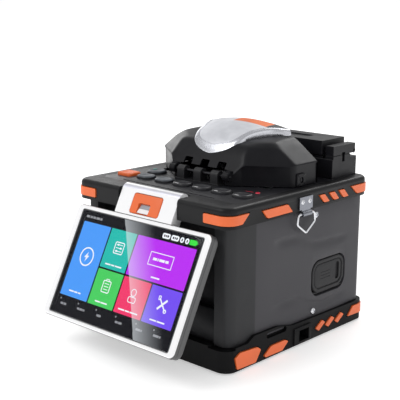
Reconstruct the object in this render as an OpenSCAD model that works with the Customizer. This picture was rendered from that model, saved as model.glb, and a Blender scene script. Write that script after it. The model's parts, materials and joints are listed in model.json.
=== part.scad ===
// Fiber fusion splicer: a square field unit with rubber guards, a tilting touch screen,
// a wind hood over the splicing stage, a tube heater behind it and a row of keys.
// Millimetres. +Z is up, the operator stands on the -Y side, X runs along the fibre.

/* [Body] */
// overall width over the guard ring
body_w = 150; // [148:1:156]
// overall depth over the guard ring
body_d = 162.6; // [160:0.2:168]
// height of the deck above the ground
deck_z = 114.3; // [112:0.1:120]
// height of the guard ring
ring_h = 14.3; // [13.6:0.1:16]
// height of the bumper base at the sides
base_top = 16.5; // [16:0.5:18]
// outer corner radius of the guards
guard_r = 9; // [7:0.5:10]
// how far the orange inserts stand proud
pad_proud = 0.8; // [0.4:0.1:1.2]

/* [Screen] */
// width of the screen head
screen_w = 133; // [128:1:140]
// height of the screen head
screen_h = 84; // [80:1:88]
// total thickness of the screen head
screen_t = 10; // [9:0.5:11]
// tilt of the screen away from upright
screen_tilt = 26.6; // [18:0.1:40]
// width of the glass
glass_w = 119.7; // [116:0.1:122]
// height of the glass
glass_h = 76.8; // [74:0.1:77]

/* [Hood] */
// length of the hood along the fibre
hood_l = 130; // [124:1:134]
// height of the hood top above the deck
hood_h = 41.2; // [40:0.1:43]
// wall of the hood
hood_wall = 3; // [2:0.5:4]

/* [Heater] */
// depth of the heater lid, front to back
lid_d = 29; // [26:1:30]
// height of the heater body above the deck
heater_h = 16.7; // [15:0.1:18]

/* [Keys] */
// spacing of the key row
key_pitch = 18.75; // [17:0.05:18.75]
// how far a key stands above the deck
key_proud = 2.2; // [1.6:0.1:3]

/* [Fits] */
// radial clearance of every turning pin
run_gap = 0.05; // [0.02:0.01:0.1]
// gap around each key in the deck
key_gap = 0.35; // [0.3:0.05:0.5]

/* [Hidden] */
$fn = 48;
hw = body_w / 2;
hd = body_d / 2;
ring_z = deck_z - ring_h;
deck_t = 3;
base_bot = 1.2;
shell_x = hw - 2.4;
house_x = shell_x - 5.6;
house_y0 = -hd + 15.3;
house_y1 = hd - 4.3;
house_wall = 3;
house_z0 = 5;
deck_x = 66;
deck_y0 = -hd + 17.3;
deck_y1 = hd - 5.3;
well_x = 54;
well_y0 = -14;
well_y1 = 22;
bed_z = 90;
fibre_y = 8;
fibre_z = deck_z + 0.9;
// screen hinge axis
hinge_y = -hd + 7.8;
hinge_z = deck_z - 2.8;
pin_r = 1.5;
head_s = 18.2;
head_n = screen_t / 2;
// hood hinge axis
hood_y = -27.5;
hood_z = deck_z + 7;
hood_pin_r = 1.25;
hood_rim = deck_z + 0.7;
hood_top = deck_z + hood_h;
hood_e = hood_l / 2;
// heater axis
heat_y0 = 46;
heat_y1 = heat_y0 + lid_d;
heat_top = deck_z + heater_h;
lid_y = heat_y1 - 1.5;
lid_z = heat_top + 2;
lid_x = 55;
// strap ring axis
ring_ax = hw + 1.3;
ring_az = ring_z - 1.5;
// the whole unit is shifted so the footprint, screen included, is centred on the origin
front_y = hinge_y - (head_s + screen_h) * sin(screen_tilt) - head_n * cos(screen_tilt);
body_y = -(front_y + hd + pad_proud) / 2;

// ---------- helpers ----------

module at_body() {
  translate([0, body_y, 0]) children();
}

module both() {
  children();
  mirror([1, 0, 0]) children();
}

module rrect(w, d, r) {
  square([w - 2 * r, d], center = true);
  square([w, d - 2 * r], center = true);
  for (x = [-1, 1], y = [-1, 1])
    translate([x * (w / 2 - r), y * (d / 2 - r)]) circle(r);
}

// box given by its low and high corners
module block(a, b) {
  translate(a) cube(b - a);
}

// prism along X from a [y, z] outline
module along_x(x0, x1) {
  translate([x0, 0, 0]) rotate([90, 0, 90]) linear_extrude(x1 - x0) children();
}

// prism along Y from an [x, z] outline
module along_y(y0, y1) {
  translate([0, y1, 0]) rotate([90, 0, 0]) linear_extrude(y1 - y0) children();
}

module rod_x(x0, x1, y, z, r) {
  translate([x0, y, z]) rotate([0, 90, 0]) cylinder(r = r, h = x1 - x0);
}

module rod_y(y0, y1, x, z, r) {
  translate([x, y0, z]) rotate([-90, 0, 0]) cylinder(r = r, h = y1 - y0);
}

// ---------- guards and housing ----------

module outline(z0, z1, grow) {
  translate([0, 0, z0]) linear_extrude(z1 - z0)
    rrect(body_w + 2 * grow, body_d + 2 * grow, guard_r + grow);
}

module insert_band(z0, z1) {
  difference() {
    outline(z0, z1, pad_proud);
    outline(z0 - 1, z1 + 1, -1.6);
  }
}

// outlines on the side wall, [y, z]
ring_quad = [[-47.4, 8], [-20.1, 8], [-14.7, 2], [-41.9, 2]];
ring_front = [[-90, 2.6], [-68, 2.6], [-61, 9], [-90, 9]];
ring_rear = [[56.3, 9], [90, 9], [90, 2.6], [64.2, 2.6]];
ring_small = [[16.5, 8.5], [22.8, 8.5], [28.8, 2.5], [22.4, 2.5]];
base_hex = [[-68.4, 14], [-50.3, 13], [-46.5, 10.4], [-51.9, 2.4], [-71.3, 2.8], [-73.4, 11.3]];
base_six = [[-35.1, 9.5], [-19.5, 9.6], [-16, 7.8], [-22.5, 2.6], [-41.3, 2.8], [-42.6, 4.5]];
base_small = [[17, 8.1], [24.8, 12.8], [28.5, 10.4], [20.7, 5.4]];
base_rear = [[58, 7], [64.7, 13.7], [90, 13.7], [90, 6]];

module ring_insert_set() {
  both() intersection() {
    insert_band(ring_z + 1, deck_z - 3);
    translate([0, 0, ring_z]) {
      along_x(60, hw + 3) polygon(ring_quad);
      along_x(53.4, hw + 3) polygon(ring_front);
      along_x(60, hw + 3) polygon(ring_rear);
      for (i = [0:2])
        translate([0, 12 * i, 0]) along_x(60, hw + 3) polygon(ring_small);
    }
  }
}

module base_insert_set() {
  both() intersection() {
    insert_band(base_bot + 0.8, base_top - 1.5);
    union() {
      along_x(60, hw + 3) polygon(base_hex);
      along_x(60, hw + 3) polygon(base_six);
      along_x(60, hw + 3) polygon(base_rear);
      for (i = [0:2])
        translate([0, 12 * i, 0]) along_x(60, hw + 3) polygon(base_small);
    }
  }
}

module housing_outline(z0, z1, inset) {
  block([-house_x + inset, house_y0 + inset, z0], [house_x - inset, house_y1 - inset, z1]);
}

// raised lip of the base along the side shells, [y, z]
side_lip = [[-hd + 9, base_top - 1], [hd - 9, base_top - 1], [hd - 9, base_top],
  [-10, base_top + 1.2], [-27, base_top + 5], [-53, base_top + 5.2], [-60, base_top + 1.5],
  [-hd + 9, base_top + 1.5]];

module bumper_base() at_body() color("#1c1c1f") difference() {
  union() {
    outline(base_bot, base_top, 0);
    both() along_x(shell_x + 0.2, hw) polygon(side_lip);
    block([-57.6, -hd, base_top - 1], [57.6, house_y0 - 2.2, base_top + 1.5]);
    both() block([hw - 1, -9, base_bot + 0.8], [hw + 1, 11, base_top - 2]);
  }
  housing_outline(house_z0, base_top + 9, 0);
  base_insert_set();
  both() block([hw - 7, -3.5, 3.6], [hw + 2, 8, 12]);
  foot_places() translate([0, 0, -1]) cylinder(r = 7, h = 1 + base_bot + 1.6);
  cylinder(r = 5.4, h = 20);
  cylinder(r = 7.5, h = base_bot + 1.2);
  for (y = [-40:20:40])
    both() block([14, y - 2, 0], [44, y + 2, base_bot + 1.2]);
}

module foot_places() {
  for (x = [-1, 1], y = [-1, 1])
    translate([x * (hw - 16), y * (hd - 16), 0]) children();
}

module rubber_feet() at_body() color("#0e0e0f") foot_places() {
  cylinder(r = 6.9, h = base_bot + 1.6);
}

module tripod_insert() at_body() color("#b08d45") difference() {
  union() {
    translate([0, 0, base_bot]) cylinder(r = 7.5, h = 1.2);
    translate([0, 0, base_bot]) cylinder(r = 5.4, h = 9);
  }
  translate([0, 0, base_bot - 1]) cylinder(r = 3.175, h = 9);
}

module lower_housing() at_body() color("#222225") difference() {
  union() {
    housing_outline(house_z0, ring_z, 0);
    block([-57.8, house_y0 - 2, base_top + 1.5], [57.8, house_y0 + 1, ring_z]);
    block([-57.8, house_y0 - 8, base_top + 1.5], [57.8, house_y0 + 1, base_top + 25]);
  }
  housing_outline(house_z0 + 2.5, ring_z + 1, house_wall);
  translate([0, 0, house_z0 - 1]) cylinder(r = 5.4, h = 6);
  block([house_x - 4, port_y - 12, port_z - 6], [house_x + 1, port_y + 12, port_z + 6]);
  rod_y(house_y1 - 4, house_y1 + 1, -40, 36, 5.5);
  for (i = [-5:5])
    block([i * 5 - 1, house_y0 - 9, 24], [i * 5 + 1, house_y0 - 6.5, 36]);
}

// skin that wraps the side and both corners of the housing
module side_shell_form() {
  difference() {
    intersection() {
      translate([0, 1.7, base_top + 0.5]) linear_extrude(ring_z - base_top - 0.5)
        rrect(2 * shell_x, body_d - 8.2, 8);
      block([58, -hd, 0], [hw, hd, ring_z]);
    }
    block([0, house_y0, 0], [house_x, house_y1, ring_z + 1]);
    block([0, house_y1 - 1, 0], [63, hd, ring_z + 1]);
  }
}

module screw_bores() {
  for (p = [[16.5, ring_z - 6], [16.5, base_top + 4.7]])
    translate([shell_x - 3, p[0], p[1]]) rotate([0, 90, 0]) cylinder(r = 1.6, h = 4);
}

module side_shell_left() at_body() color("#47464a") mirror([1, 0, 0]) difference() {
  side_shell_form();
  screw_bores();
}

port_y = 34.75;
port_z = 45.3;
port_w = 42.5;
port_h = 27.6;

module port_shape(grow) {
  rrect(port_w + 2 * grow, port_h + 2 * grow, 9 + grow);
}

module side_shell_right() at_body() color("#47464a") difference() {
  side_shell_form();
  screw_bores();
  translate([0, port_y, port_z]) along_x(shell_x - 4.2, hw) port_shape(0);
  rod_y(port_y - 21, port_y + 21, cover_x, cover_az, 0.9 + run_gap);
  translate([0, port_y, port_z]) along_x(house_x - 1, hw) rrect(30, 17, 5);
}

module shell_screws() at_body() color("#c9cacc") both() {
  for (p = [[16.5, ring_z - 6], [16.5, base_top + 4.7]])
    translate([0, p[0], p[1]]) {
      difference() {
        rod_x(shell_x, shell_x + 1.6, 0, 0, 2.6);
        block([shell_x + 1, -1.9, -0.4], [shell_x + 2, 1.9, 0.4]);
        block([shell_x + 1, -0.4, -1.9], [shell_x + 2, 0.4, 1.9]);
      }
      rod_x(shell_x - 2.9, shell_x + 0.1, 0, 0, 1.55);
    }
}

module rear_panel() at_body() color("#222225") difference() {
  block([-62.8, house_y1, base_top + 0.2], [62.8, house_y1 + 2.8, ring_z]);
  for (i = [-4:4])
    block([i * 6 - 1.4, house_y1 - 1, 66], [i * 6 + 1.4, house_y1 + 4, 88]);
  rod_y(house_y1 - 1, house_y1 + 4, -40, 36, 5.5);
}

module dc_inlet() at_body() color("#101012") {
  difference() {
    union() {
      rod_y(house_y1 - 11, house_y1 + 2.4, -40, 36, 5.45);
      block([-47, house_y1 - 13, 30.5], [-33, house_y1 - 3.4, 41.5]);
    }
    rod_y(house_y1 - 8, house_y1 + 4, -40, 36, 2.8);
  }
  rod_y(house_y1 - 9, house_y1 + 1.4, -40, 36, 1);
}

module side_ports() at_body() color("#8f9296") {
  difference() {
    block([house_x - 3.8, port_y - 12, port_z - 6], [house_x + 1.2, port_y + 12, port_z + 6]);
    block([house_x - 2, port_y - 10, port_z - 3], [house_x + 2, port_y + 2, port_z + 3]);
    block([house_x - 2, port_y + 4.5, port_z - 4.5], [house_x + 2, port_y + 8, port_z + 4.5]);
  }
  block([house_x - 2.5, port_y - 9, port_z - 0.5], [house_x + 0.4, port_y + 1, port_z + 0.6]);
}

cover_x = shell_x - 1.6;
cover_az = port_z - port_h / 2 + 2.2;

module port_cover() at_body() color("#1d1d20") {
  difference() {
    union() {
      translate([0, port_y, port_z]) along_x(shell_x - 2.4, shell_x) port_shape(-0.5);
      translate([0, port_y, port_z]) along_x(shell_x - 1, shell_x + 0.7) rrect(28, 14, 5);
    }
    translate([0, port_y, port_z]) along_x(shell_x - 0.2, shell_x + 1) rrect(23, 9, 4);
    block([shell_x - 3, port_y - 22, cover_az - 4], [shell_x + 1, port_y + 22, cover_az - 1.1]);
    for (side = [-1, 1])
      translate([shell_x - 1, port_y + side * 18.5, cover_az - 1]) cube([4, 7, 6], center = true);
  }
  rod_y(port_y - 20.5, port_y + 20.5, cover_x, cover_az, 0.9);
}

module guard_ring() at_body() color("#1c1c1f") difference() {
  outline(ring_z, deck_z, 0);
  translate([0, (deck_y0 + deck_y1) / 2, deck_z - deck_t]) linear_extrude(deck_t + 1)
    rrect(2 * deck_x, deck_y1 - deck_y0, 5);
  block([-deck_x + 0.8, deck_y0 + 2, ring_z - 1], [deck_x - 0.8, deck_y1 - 2, deck_z]);
  block([-29, -hd - 1, ring_z - 1], [29, deck_y0 - 3, deck_z + 1]);
  rod_x(-37, 37, hinge_y, hinge_z, pin_r + run_gap);
  ring_insert_set();
}

module orange_inserts() at_body() color("#f07332") {
  ring_insert_set();
  base_insert_set();
}

module screen_pin() at_body() color("#9a9da1") rod_x(-37, 37, hinge_y, hinge_z, pin_r);

// ---------- strap rings ----------

module strap_plates() at_body() color("#c9cacc") both() difference() {
  union() {
    block([hw, -7.5, ring_z + 1.5], [hw + 1.2, 7.5, ring_z + 10.5]);
    rod_y(-5, 5, ring_ax, ring_az, 1.9);
    block([hw + 0.1, -5, ring_az], [hw + 1.2, 5, ring_z + 2]);
  }
  rod_y(-8, 8, ring_ax, ring_az, 1 + run_gap);
  for (y = [-4, 4])
    rod_x(hw - 1, hw + 2, y, ring_z + 7, 1.1);
}

// wire between two [y, z] points in the plane of the strap ring
module wire(a, b) {
  d = b - a;
  translate([ring_ax, a[0], a[1]]) rotate([-atan2(d[0], d[1]), 0, 0])
    cylinder(r = 1, h = norm(d));
}

loop_pts = [[-9, ring_az], [-11, ring_az - 3.5], [0, ring_az - 14], [11, ring_az - 3.5],
  [9, ring_az]];

module strap_loop() {
  rod_y(-9, 9, ring_ax, ring_az, 1);
  for (i = [0:3]) wire(loop_pts[i], loop_pts[i + 1]);
  for (p = loop_pts) translate([ring_ax, p[0], p[1]]) sphere(r = 1.12);
}

module strap_ring_right() at_body() color("#c9cacc") strap_loop();
module strap_ring_left() at_body() color("#c9cacc") mirror([1, 0, 0]) strap_loop();

// ---------- inner pieces ----------

module battery_pack() at_body() color("#2c4a6b")
  block([-50, 8, house_z0 + 2.5], [50, 68, house_z0 + 24.5]);

module main_board() at_body() color("#1f5a37") difference() {
  block([-58, -58, house_z0 + 52.5], [58, 60, house_z0 + 54.1]);
  for (x = [-40, 40])
    translate([x, 40, house_z0 + 50]) cylinder(r = 1.6, h = 6);
}

key_y = -45;
round_key = [-46, -26];

// ---------- deck and keys ----------

function key_x(i) = (i - 3) * key_pitch - 0.5;

module key_cap_2d(i, grow) {
  if (i == 0)
    translate([key_x(i), key_y]) rrect(14 + 2 * grow, 12.5 + 2 * grow, 2 + grow);
  if (i > 0 && i < 7)
    translate([key_x(i), key_y]) rrect(14 + 2 * grow, 12 + 2 * grow, 5 + grow);
  if (i == 7)
    translate(round_key) circle(7.4 + grow);
}

module key_solid(i) {
  translate([0, 0, deck_z - 3.6]) linear_extrude(3.6 + key_proud) key_cap_2d(i, 0);
  translate([0, 0, deck_z - 4.7]) linear_extrude(1.3) key_cap_2d(i, 1);
}

module deck_plate() at_body() color("#232326") difference() {
  translate([0, (deck_y0 + deck_y1) / 2, deck_z - deck_t]) linear_extrude(deck_t)
    rrect(2 * deck_x - 0.1, deck_y1 - deck_y0 - 0.1, 5);
  block([-well_x, well_y0, 0], [well_x, well_y1, deck_z + 1]);
  for (i = [0:7])
    translate([0, 0, deck_z - 5]) linear_extrude(8) key_cap_2d(i, key_gap);
  block([-45, deck_y0 + 1.6, deck_z - 0.8], [45, deck_y0 + 3.2, deck_z + 1]);
  translate([55.8, -29, deck_z - 5]) cylinder(r = 1.8, h = 8);
}

module status_lamp() at_body() color("#d0303c") translate([55.8, -29, deck_z - 3])
  cylinder(r = 1.75, h = 3.4);

module key_power() at_body() color("#f07332") key_solid(0);
module key_1() at_body() color("#5d636d") key_solid(1);
module key_2() at_body() color("#4a4f58") key_solid(2);
module key_3() at_body() color("#2c2d31") key_solid(3);
module key_4() at_body() color("#2c2d31") key_solid(4);
module key_5() at_body() color("#2c2d31") key_solid(5);
module key_6() at_body() color("#2c2d31") key_solid(6);
module key_round() at_body() color("#6d747c") key_solid(7);

// ---------- splicing stage ----------

rod_z = bed_z + 7;
rod_front = fibre_y - 9;
rod_back = fibre_y + 9;

module splice_bed() at_body() color("#55585d") difference() {
  block([-well_x - 3, well_y0 - 3, bed_z - 4], [well_x + 3, well_y1 + 3, deck_z - deck_t]);
  block([-well_x, well_y0, bed_z], [well_x, well_y1, deck_z]);
  for (y = [rod_front, rod_back])
    rod_x(-well_x - 2, well_x + 2, y, rod_z, 1.55);
}

module guide_rods() at_body() color("#c3c6ca") {
  for (y = [rod_front, rod_back])
    rod_x(-well_x - 2, well_x + 2, y, rod_z, 1.5);
}

lens_from = 5;
lens_to = 14.5;

module lens_places() {
  for (a = [-1, 1])
    translate([0, fibre_y, fibre_z]) rotate([180 + a * 45, 0, 0]) children();
}

module vgroove_block() at_body() color("#d8d8d4") difference() {
  union() {
    block([-10, fibre_y - 13, bed_z], [10, fibre_y + 13, fibre_z - 2.6]);
    both() block([2.6, fibre_y - 5, bed_z], [10, fibre_y + 13, fibre_z + 0.6]);
    both() block([8.6, fibre_y + 7.5, bed_z], [10, fibre_y + 13, fibre_z + 3.6]);
  }
  block([-2.6, fibre_y - 14, bed_z + 15], [2.6, fibre_y + 14, deck_z + 9]);
  along_x(-11, 11) polygon([[fibre_y - 1, fibre_z + 1], [fibre_y, fibre_z - 0.4],
    [fibre_y + 1, fibre_z + 1]]);
  both() block([2, fibre_y + 4.4, fibre_z - 1.2], [8.6, fibre_y + 14, deck_z + 9]);
  lens_places() cylinder(r = 2.25, h = lens_to);
  for (y = [rod_front, rod_back]) rod_x(-11, 11, y, rod_z, 1.6);
  rod_x(-9.6, 9.6, fibre_y + 10, fibre_z + 1.4, 0.65);
}

module objectives() at_body() color("#8d9196") lens_places() difference() {
  translate([0, 0, lens_from]) cylinder(r = 2.2, h = lens_to - lens_from);
  translate([0, 0, lens_from - 1]) cylinder(r = 1.6, h = 2);
}

module electrode_side() {
  translate([0, fibre_y, 0]) children();
  translate([0, fibre_y, 0]) mirror([0, 1, 0]) children();
}

module electrodes() at_body() color("#b8bcc0") electrode_side() {
  rod_y(2.2, 14, 0, fibre_z, 0.6);
  translate([0, 1, fibre_z]) rotate([-90, 0, 0]) cylinder(r1 = 0.1, r2 = 0.6, h = 1.2);
}

module electrode_caps() at_body() color("#3a3c40") electrode_side() difference() {
  block([-2.6, 9, fibre_z - 5], [2.6, 13, fibre_z + 2.2]);
  rod_y(8, 14, 0, fibre_z, 0.62);
}

// moving fibre stage, drawn on the +X side
stage_in = 16;
stage_out = 50;
clamp_ay = fibre_y + 10.5;
clamp_az = fibre_z + 2;

module stage_form() {
  difference() {
    union() {
      block([stage_in, fibre_y - 13, bed_z + 0.5], [stage_out, fibre_y + 12.6, fibre_z]);
      for (x = [stage_in, stage_out - 3])
        block([x, fibre_y + 8, fibre_z - 1], [x + 3, fibre_y + 12.6, fibre_z + 4.2]);
    }
    for (y = [rod_front, rod_back])
      rod_x(stage_in - 1, stage_out + 1, y, rod_z, 1.5 + run_gap);
    along_x(stage_in - 1, stage_out + 1) polygon([[fibre_y - 0.5, fibre_z + 1],
      [fibre_y, fibre_z - 0.5], [fibre_y + 0.5, fibre_z + 1]]);
    rod_x(stage_in + 1, stage_out - 1, clamp_ay, clamp_az, 0.8 + run_gap);
  }
}

module sheath_clamp_form() {
  difference() {
    union() {
      block([stage_in + 3.4, fibre_y - 12, fibre_z + 0.3], [stage_out - 3.4, clamp_ay - 1,
        fibre_z + 3.6]);
      rod_x(stage_in + 3.4, stage_out - 3.4, clamp_ay, clamp_az, 1.7);
      block([stage_in + 3.4, fibre_y + 6, clamp_az - 0.8], [stage_out - 3.4, clamp_ay,
        clamp_az + 0.8]);
      block([stage_in + 10, fibre_y - 15, fibre_z + 1.6], [stage_out - 10, fibre_y - 11,
        fibre_z + 3]);
    }
    block([stage_in + 8, fibre_y - 5, fibre_z + 2.6], [stage_out - 8, fibre_y + 5, fibre_z + 5]);
  }
  rod_x(stage_in + 1.4, stage_out - 1.4, clamp_ay, clamp_az, 0.8);
}

module fibre_arm_form() {
  block([3, fibre_y - 4.6, fibre_z + 0.9], [8.2, fibre_y + 8.8, fibre_z + 2.4]);
  block([3, fibre_y - 1.2, fibre_z + 0.62], [8.2, fibre_y + 1.2, fibre_z + 1]);
  rod_x(3, 8.2, fibre_y + 10, fibre_z + 1.4, 1.4);
  block([3, fibre_y + 8, fibre_z + 0.9], [8.2, fibre_y + 10, fibre_z + 2.4]);
  rod_x(3, 9.4, fibre_y + 10, fibre_z + 1.4, 0.6);
}

module stage_right() at_body() color("#aeb2b7") stage_form();
module stage_left() at_body() color("#aeb2b7") mirror([1, 0, 0]) stage_form();
module sheath_clamp_right() at_body() color("#3b3d42") sheath_clamp_form();
module sheath_clamp_left() at_body() color("#3b3d42") mirror([1, 0, 0]) sheath_clamp_form();
module fibre_arm_right() at_body() color("#c9cacc") fibre_arm_form();
module fibre_arm_left() at_body() color("#c9cacc") mirror([1, 0, 0]) fibre_arm_form();

// ---------- hood ----------

// plan, front and side outlines of the hood, drawn in by i all round
module hood_plan(i) {
  polygon([[-27 + 0.4 * i, -27 + i], [27 - 0.4 * i, -27 + i], [hood_e - i, 0.6 + 0.45 * i],
    [hood_e - i, 27 - i], [-hood_e + i, 27 - i], [-hood_e + i, 0.6 + 0.45 * i]]);
}

// the two shoulders and the front wall
module hood_wings(i, rim) {
  intersection() {
    translate([0, 0, rim]) linear_extrude(hood_h + 4) hood_plan(i);
    along_y(-30, 30) polygon([[-hood_e + i, hood_rim - 3], [hood_e - i, hood_rim - 3],
      [hood_e - i, hood_top - 25 - 0.4 * i], [50 - 0.6 * i, hood_top - 14 - 0.8 * i],
      [44 - 0.6 * i, hood_top - 10.4 - i], [34 - 0.4 * i, hood_top - 8 - i],
      [-34 + 0.4 * i, hood_top - 8 - i], [-44 + 0.6 * i, hood_top - 10.4 - i],
      [-50 + 0.6 * i, hood_top - 14 - 0.8 * i], [-hood_e + i, hood_top - 25 - 0.4 * i]]);
    along_x(-hood_e - 2, hood_e + 2) polygon([[-27 + i, hood_rim - 3],
      [-27 + i, deck_z + 5.7], [-17 + 0.8 * i, hood_top - 19.5 - 0.4 * i],
      [-11 + 0.6 * i, hood_top - 13.5 - 0.8 * i], [-3, hood_top - 11.2 - i],
      [8, hood_top - 10 - i], [27 - i, hood_top - 8 - i], [27 - i, hood_rim - 3]]);
  }
}

// half outline of the raised tongue, front to back
tongue = [[8, -17.5], [15, -15.5], [20, -12], [23, -7], [25, 0], [28, 8], [32, 16], [37, 22],
  [41, 28]];

module tongue_2d(i) {
  k = 1 - i / 27;
  translate([0, 10]) scale([k, k]) translate([0, -10]) {
    polygon(concat(tongue, [[0, 28], [0, -17.5]]));
    mirror([1, 0]) polygon(concat(tongue, [[0, 28], [0, -17.5]]));
  }
}

// the raised tongue on top of the hood, crowned both ways
module hood_rise(i, low) {
  intersection() {
    translate([0, 0, low]) linear_extrude(hood_top + 3 - low) tongue_2d(i);
    along_y(-30, 30) translate([0, hood_top - 150 - i]) circle(r = 150, $fn = 160);
    along_x(-50, 50) intersection() {
      translate([27, hood_top - 81 - i]) circle(r = 81, $fn = 120);
      polygon([[-30, hood_top - 27], [-18.4 + i, hood_top - 20], [-10 + i, hood_top - 5],
        [-5, hood_top + 2], [27 - i, hood_top + 2], [27 - i, hood_top - 27]]);
    }
  }
}

// thickness of the bright plate on the tongue, and its glue gap to the shell
plate_t = 1.4;
plate_gap = 0.03;
pillars = [-16.4, 0, 16.4];

module hood_shell() at_body() color("#1a1a1c") difference() {
  union() {
    hood_wings(0, hood_rim);
    hood_rise(plate_t, hood_top - 25);
    both() rod_x(23.4, 29, hood_y, hood_z, 3.4);
    both() block([hood_e - 0.5, 3, hood_rim], [hood_e + 0.6, 13, hood_rim + 9]);
  }
  difference() {
    union() {
      hood_wings(hood_wall, hood_rim - 2);
      hood_rise(plate_t + hood_wall, hood_top - 26);
    }
    both() block([23.4, hood_y - 5, hood_rim - 3], [29, hood_y + 6, hood_z + 5]);
  }
  block([-23.1, hood_y - 9, hood_rim - 1], [23.1, hood_y + 9, hood_z + 4.2]);
  for (x = pillars)
    block([x - 4, hood_y - 9, hood_z], [x + 4, hood_y + 9, hood_z + 8.7]);
  rod_x(-32, 32, hood_y, hood_z, hood_pin_r + run_gap);
  block([-hood_e - 2, fibre_y - 2.5, hood_rim - 1], [hood_e + 2, fibre_y + 2.5, fibre_z + 3]);
}

// clear label set into the plate
lens_t = 0.6;

module lens_prism() {
  intersection() {
    translate([0, 0, hood_top - 30]) linear_extrude(40) tongue_2d(8);
    block([-50, -30, hood_top - 30], [50, 24, hood_top + 10]);
  }
}

module hood_plate() at_body() color("#c6c8cc") difference() {
  hood_rise(0, hood_top - 25);
  hood_rise(plate_t - plate_gap, hood_top - 26);
  hood_wings(-plate_gap, hood_rim);
  difference() {
    lens_prism();
    hood_rise(lens_t, hood_top - 26);
  }
}

module hood_window() at_body() color("#9b9da1") difference() {
  intersection() {
    hood_rise(0, hood_top - 25);
    lens_prism();
  }
  hood_rise(lens_t, hood_top - 26);
}

module hood_bracket() at_body() color("#2b2c2f") difference() {
  union() {
    block([-21.5, hood_y - 4, deck_z], [21.5, hood_y + 3.4, deck_z + 1]);
    for (x = pillars) {
      block([x - 3.5, hood_y - 3.4, deck_z], [x + 3.5, hood_y + 3.4, hood_z]);
      rod_x(x - 3.5, x + 3.5, hood_y, hood_z, 3.4);
    }
  }
  rod_x(-30, 30, hood_y, hood_z, hood_pin_r + run_gap);
}

module hood_pin() at_body() color("#8f9296") rod_x(-30, 30, hood_y, hood_z, hood_pin_r);

// ---------- tube heater ----------

module heater_base() at_body() color("#17171a") difference() {
  union() {
    block([-hw + 10, heat_y0, deck_z], [hw - 10, heat_y1 + 2, heat_top - 2.4]);
    block([-lid_x, heat_y0 + 1, deck_z], [lid_x, lid_y - 4.5, heat_top]);
    both() block([lid_x + 2.6, heat_y0 + 1, deck_z], [hw - 10, lid_y - 4.5, heat_top]);
    both() rod_x(lid_x + 0.4, lid_x + 2.2, lid_y, lid_z, 2.4);
    both() block([lid_x + 0.4, lid_y - 2.4, heat_top - 4], [lid_x + 2.2, lid_y + 2.4, lid_z]);
  }
  block([-lid_x + 4, heat_y0 + 7, deck_z + 4], [lid_x - 4, heat_y0 + 21, heat_top + 1]);
  block([-hw, heat_y0 + 12.5, heat_top - 5], [hw, heat_y0 + 15.5, heat_top + 1]);
  block([-lid_x + 6, heat_y0 - 1, deck_z + 3], [lid_x - 6, heat_y0 + 2.5, heat_top - 3]);
  rod_x(-lid_x - 3, lid_x + 3, lid_y, lid_z, 1 + run_gap);
}

module heater_trough() at_body() color("#b9bcc0") difference() {
  block([-lid_x + 4, heat_y0 + 7, deck_z + 4], [lid_x - 4, heat_y0 + 21, heat_top - 1]);
  along_x(-lid_x, lid_x) polygon([[heat_y0 + 9, heat_top], [heat_y0 + 12.6, deck_z + 8],
    [heat_y0 + 15.4, deck_z + 8], [heat_y0 + 19, heat_top]]);
}

module heater_pin() at_body() color("#8f9296") rod_x(-hw + 11, hw - 11, lid_y, lid_z, 1);

module heater_lid() at_body() color("#1a1a1d") difference() {
  union() {
    block([-lid_x, heat_y0, heat_top + 0.4], [lid_x, lid_y - 1, heat_top + 11]);
    rod_x(-lid_x, lid_x, lid_y, lid_z, 1.95);
    block([-lid_x, lid_y - 2, lid_z], [lid_x, heat_y1, heat_top + 11]);
  }
  block([-lid_x + 3, heat_y0 + 3, heat_top - 1], [lid_x - 3, lid_y - 4, heat_top + 8]);
  rod_x(-lid_x - 1, lid_x + 1, lid_y, lid_z, 1 + run_gap);
  block([-34, heat_y0 + 7, heat_top + 10], [34, heat_y0 + 19, heat_top + 12]);
}

module heater_clamp_form() {
  difference() {
    union() {
      block([lid_x + 2.8, heat_y0 + 1, heat_top + 0.4], [hw - 10, lid_y - 1, heat_top + 7.5]);
      rod_x(lid_x + 2.8, hw - 10, lid_y, lid_z, 1.95);
      block([lid_x + 2.8, lid_y - 2, lid_z], [hw - 10, heat_y1, heat_top + 7.5]);
    }
    rod_x(lid_x, hw, lid_y, lid_z, 1 + run_gap);
    block([lid_x, heat_y0 + 12, heat_top], [hw, heat_y0 + 16, heat_top + 2]);
  }
}

module heater_clamp_right() at_body() color("#202024") heater_clamp_form();
module heater_clamp_left() at_body() color("#202024") mirror([1, 0, 0]) heater_clamp_form();

// ---------- screen head ----------

// the head is drawn hanging straight down from the hinge, then swung out by the tilt;
// here +Y is inwards and -Z runs down the face
module swing() {
  at_body() translate([0, hinge_y, hinge_z]) rotate([-screen_tilt, 0, 0]) children();
}

// prism through the face thickness, from depth a to depth b in front of the axis
module face(a, b) {
  translate([0, -a, 0]) rotate([90, 0, 0]) linear_extrude(b - a) children();
}

mid_s = head_s + screen_h / 2;

module screen_bezel() swing() color("#f4f4f4") difference() {
  face(head_n - 3, head_n) translate([0, -mid_s]) rrect(screen_w, screen_h, 4);
  face(head_n - 1.4, head_n + 1) translate([0, -mid_s]) square([glass_w, glass_h], center = true);
  face(head_n - 4, head_n + 1) translate([0, -mid_s]) square([glass_w - 6, glass_h - 9], center = true);
}

module touch_glass() swing() color("#20242c")
  face(head_n - 1.4, head_n - 0.1) translate([0, -mid_s]) square([glass_w, glass_h], center = true);

module display_panel() swing() color("#3b6fd0")
  face(head_n - 3, head_n - 1.4) translate([0, -mid_s])
    square([glass_w - 6, glass_h - 9], center = true);

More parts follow.
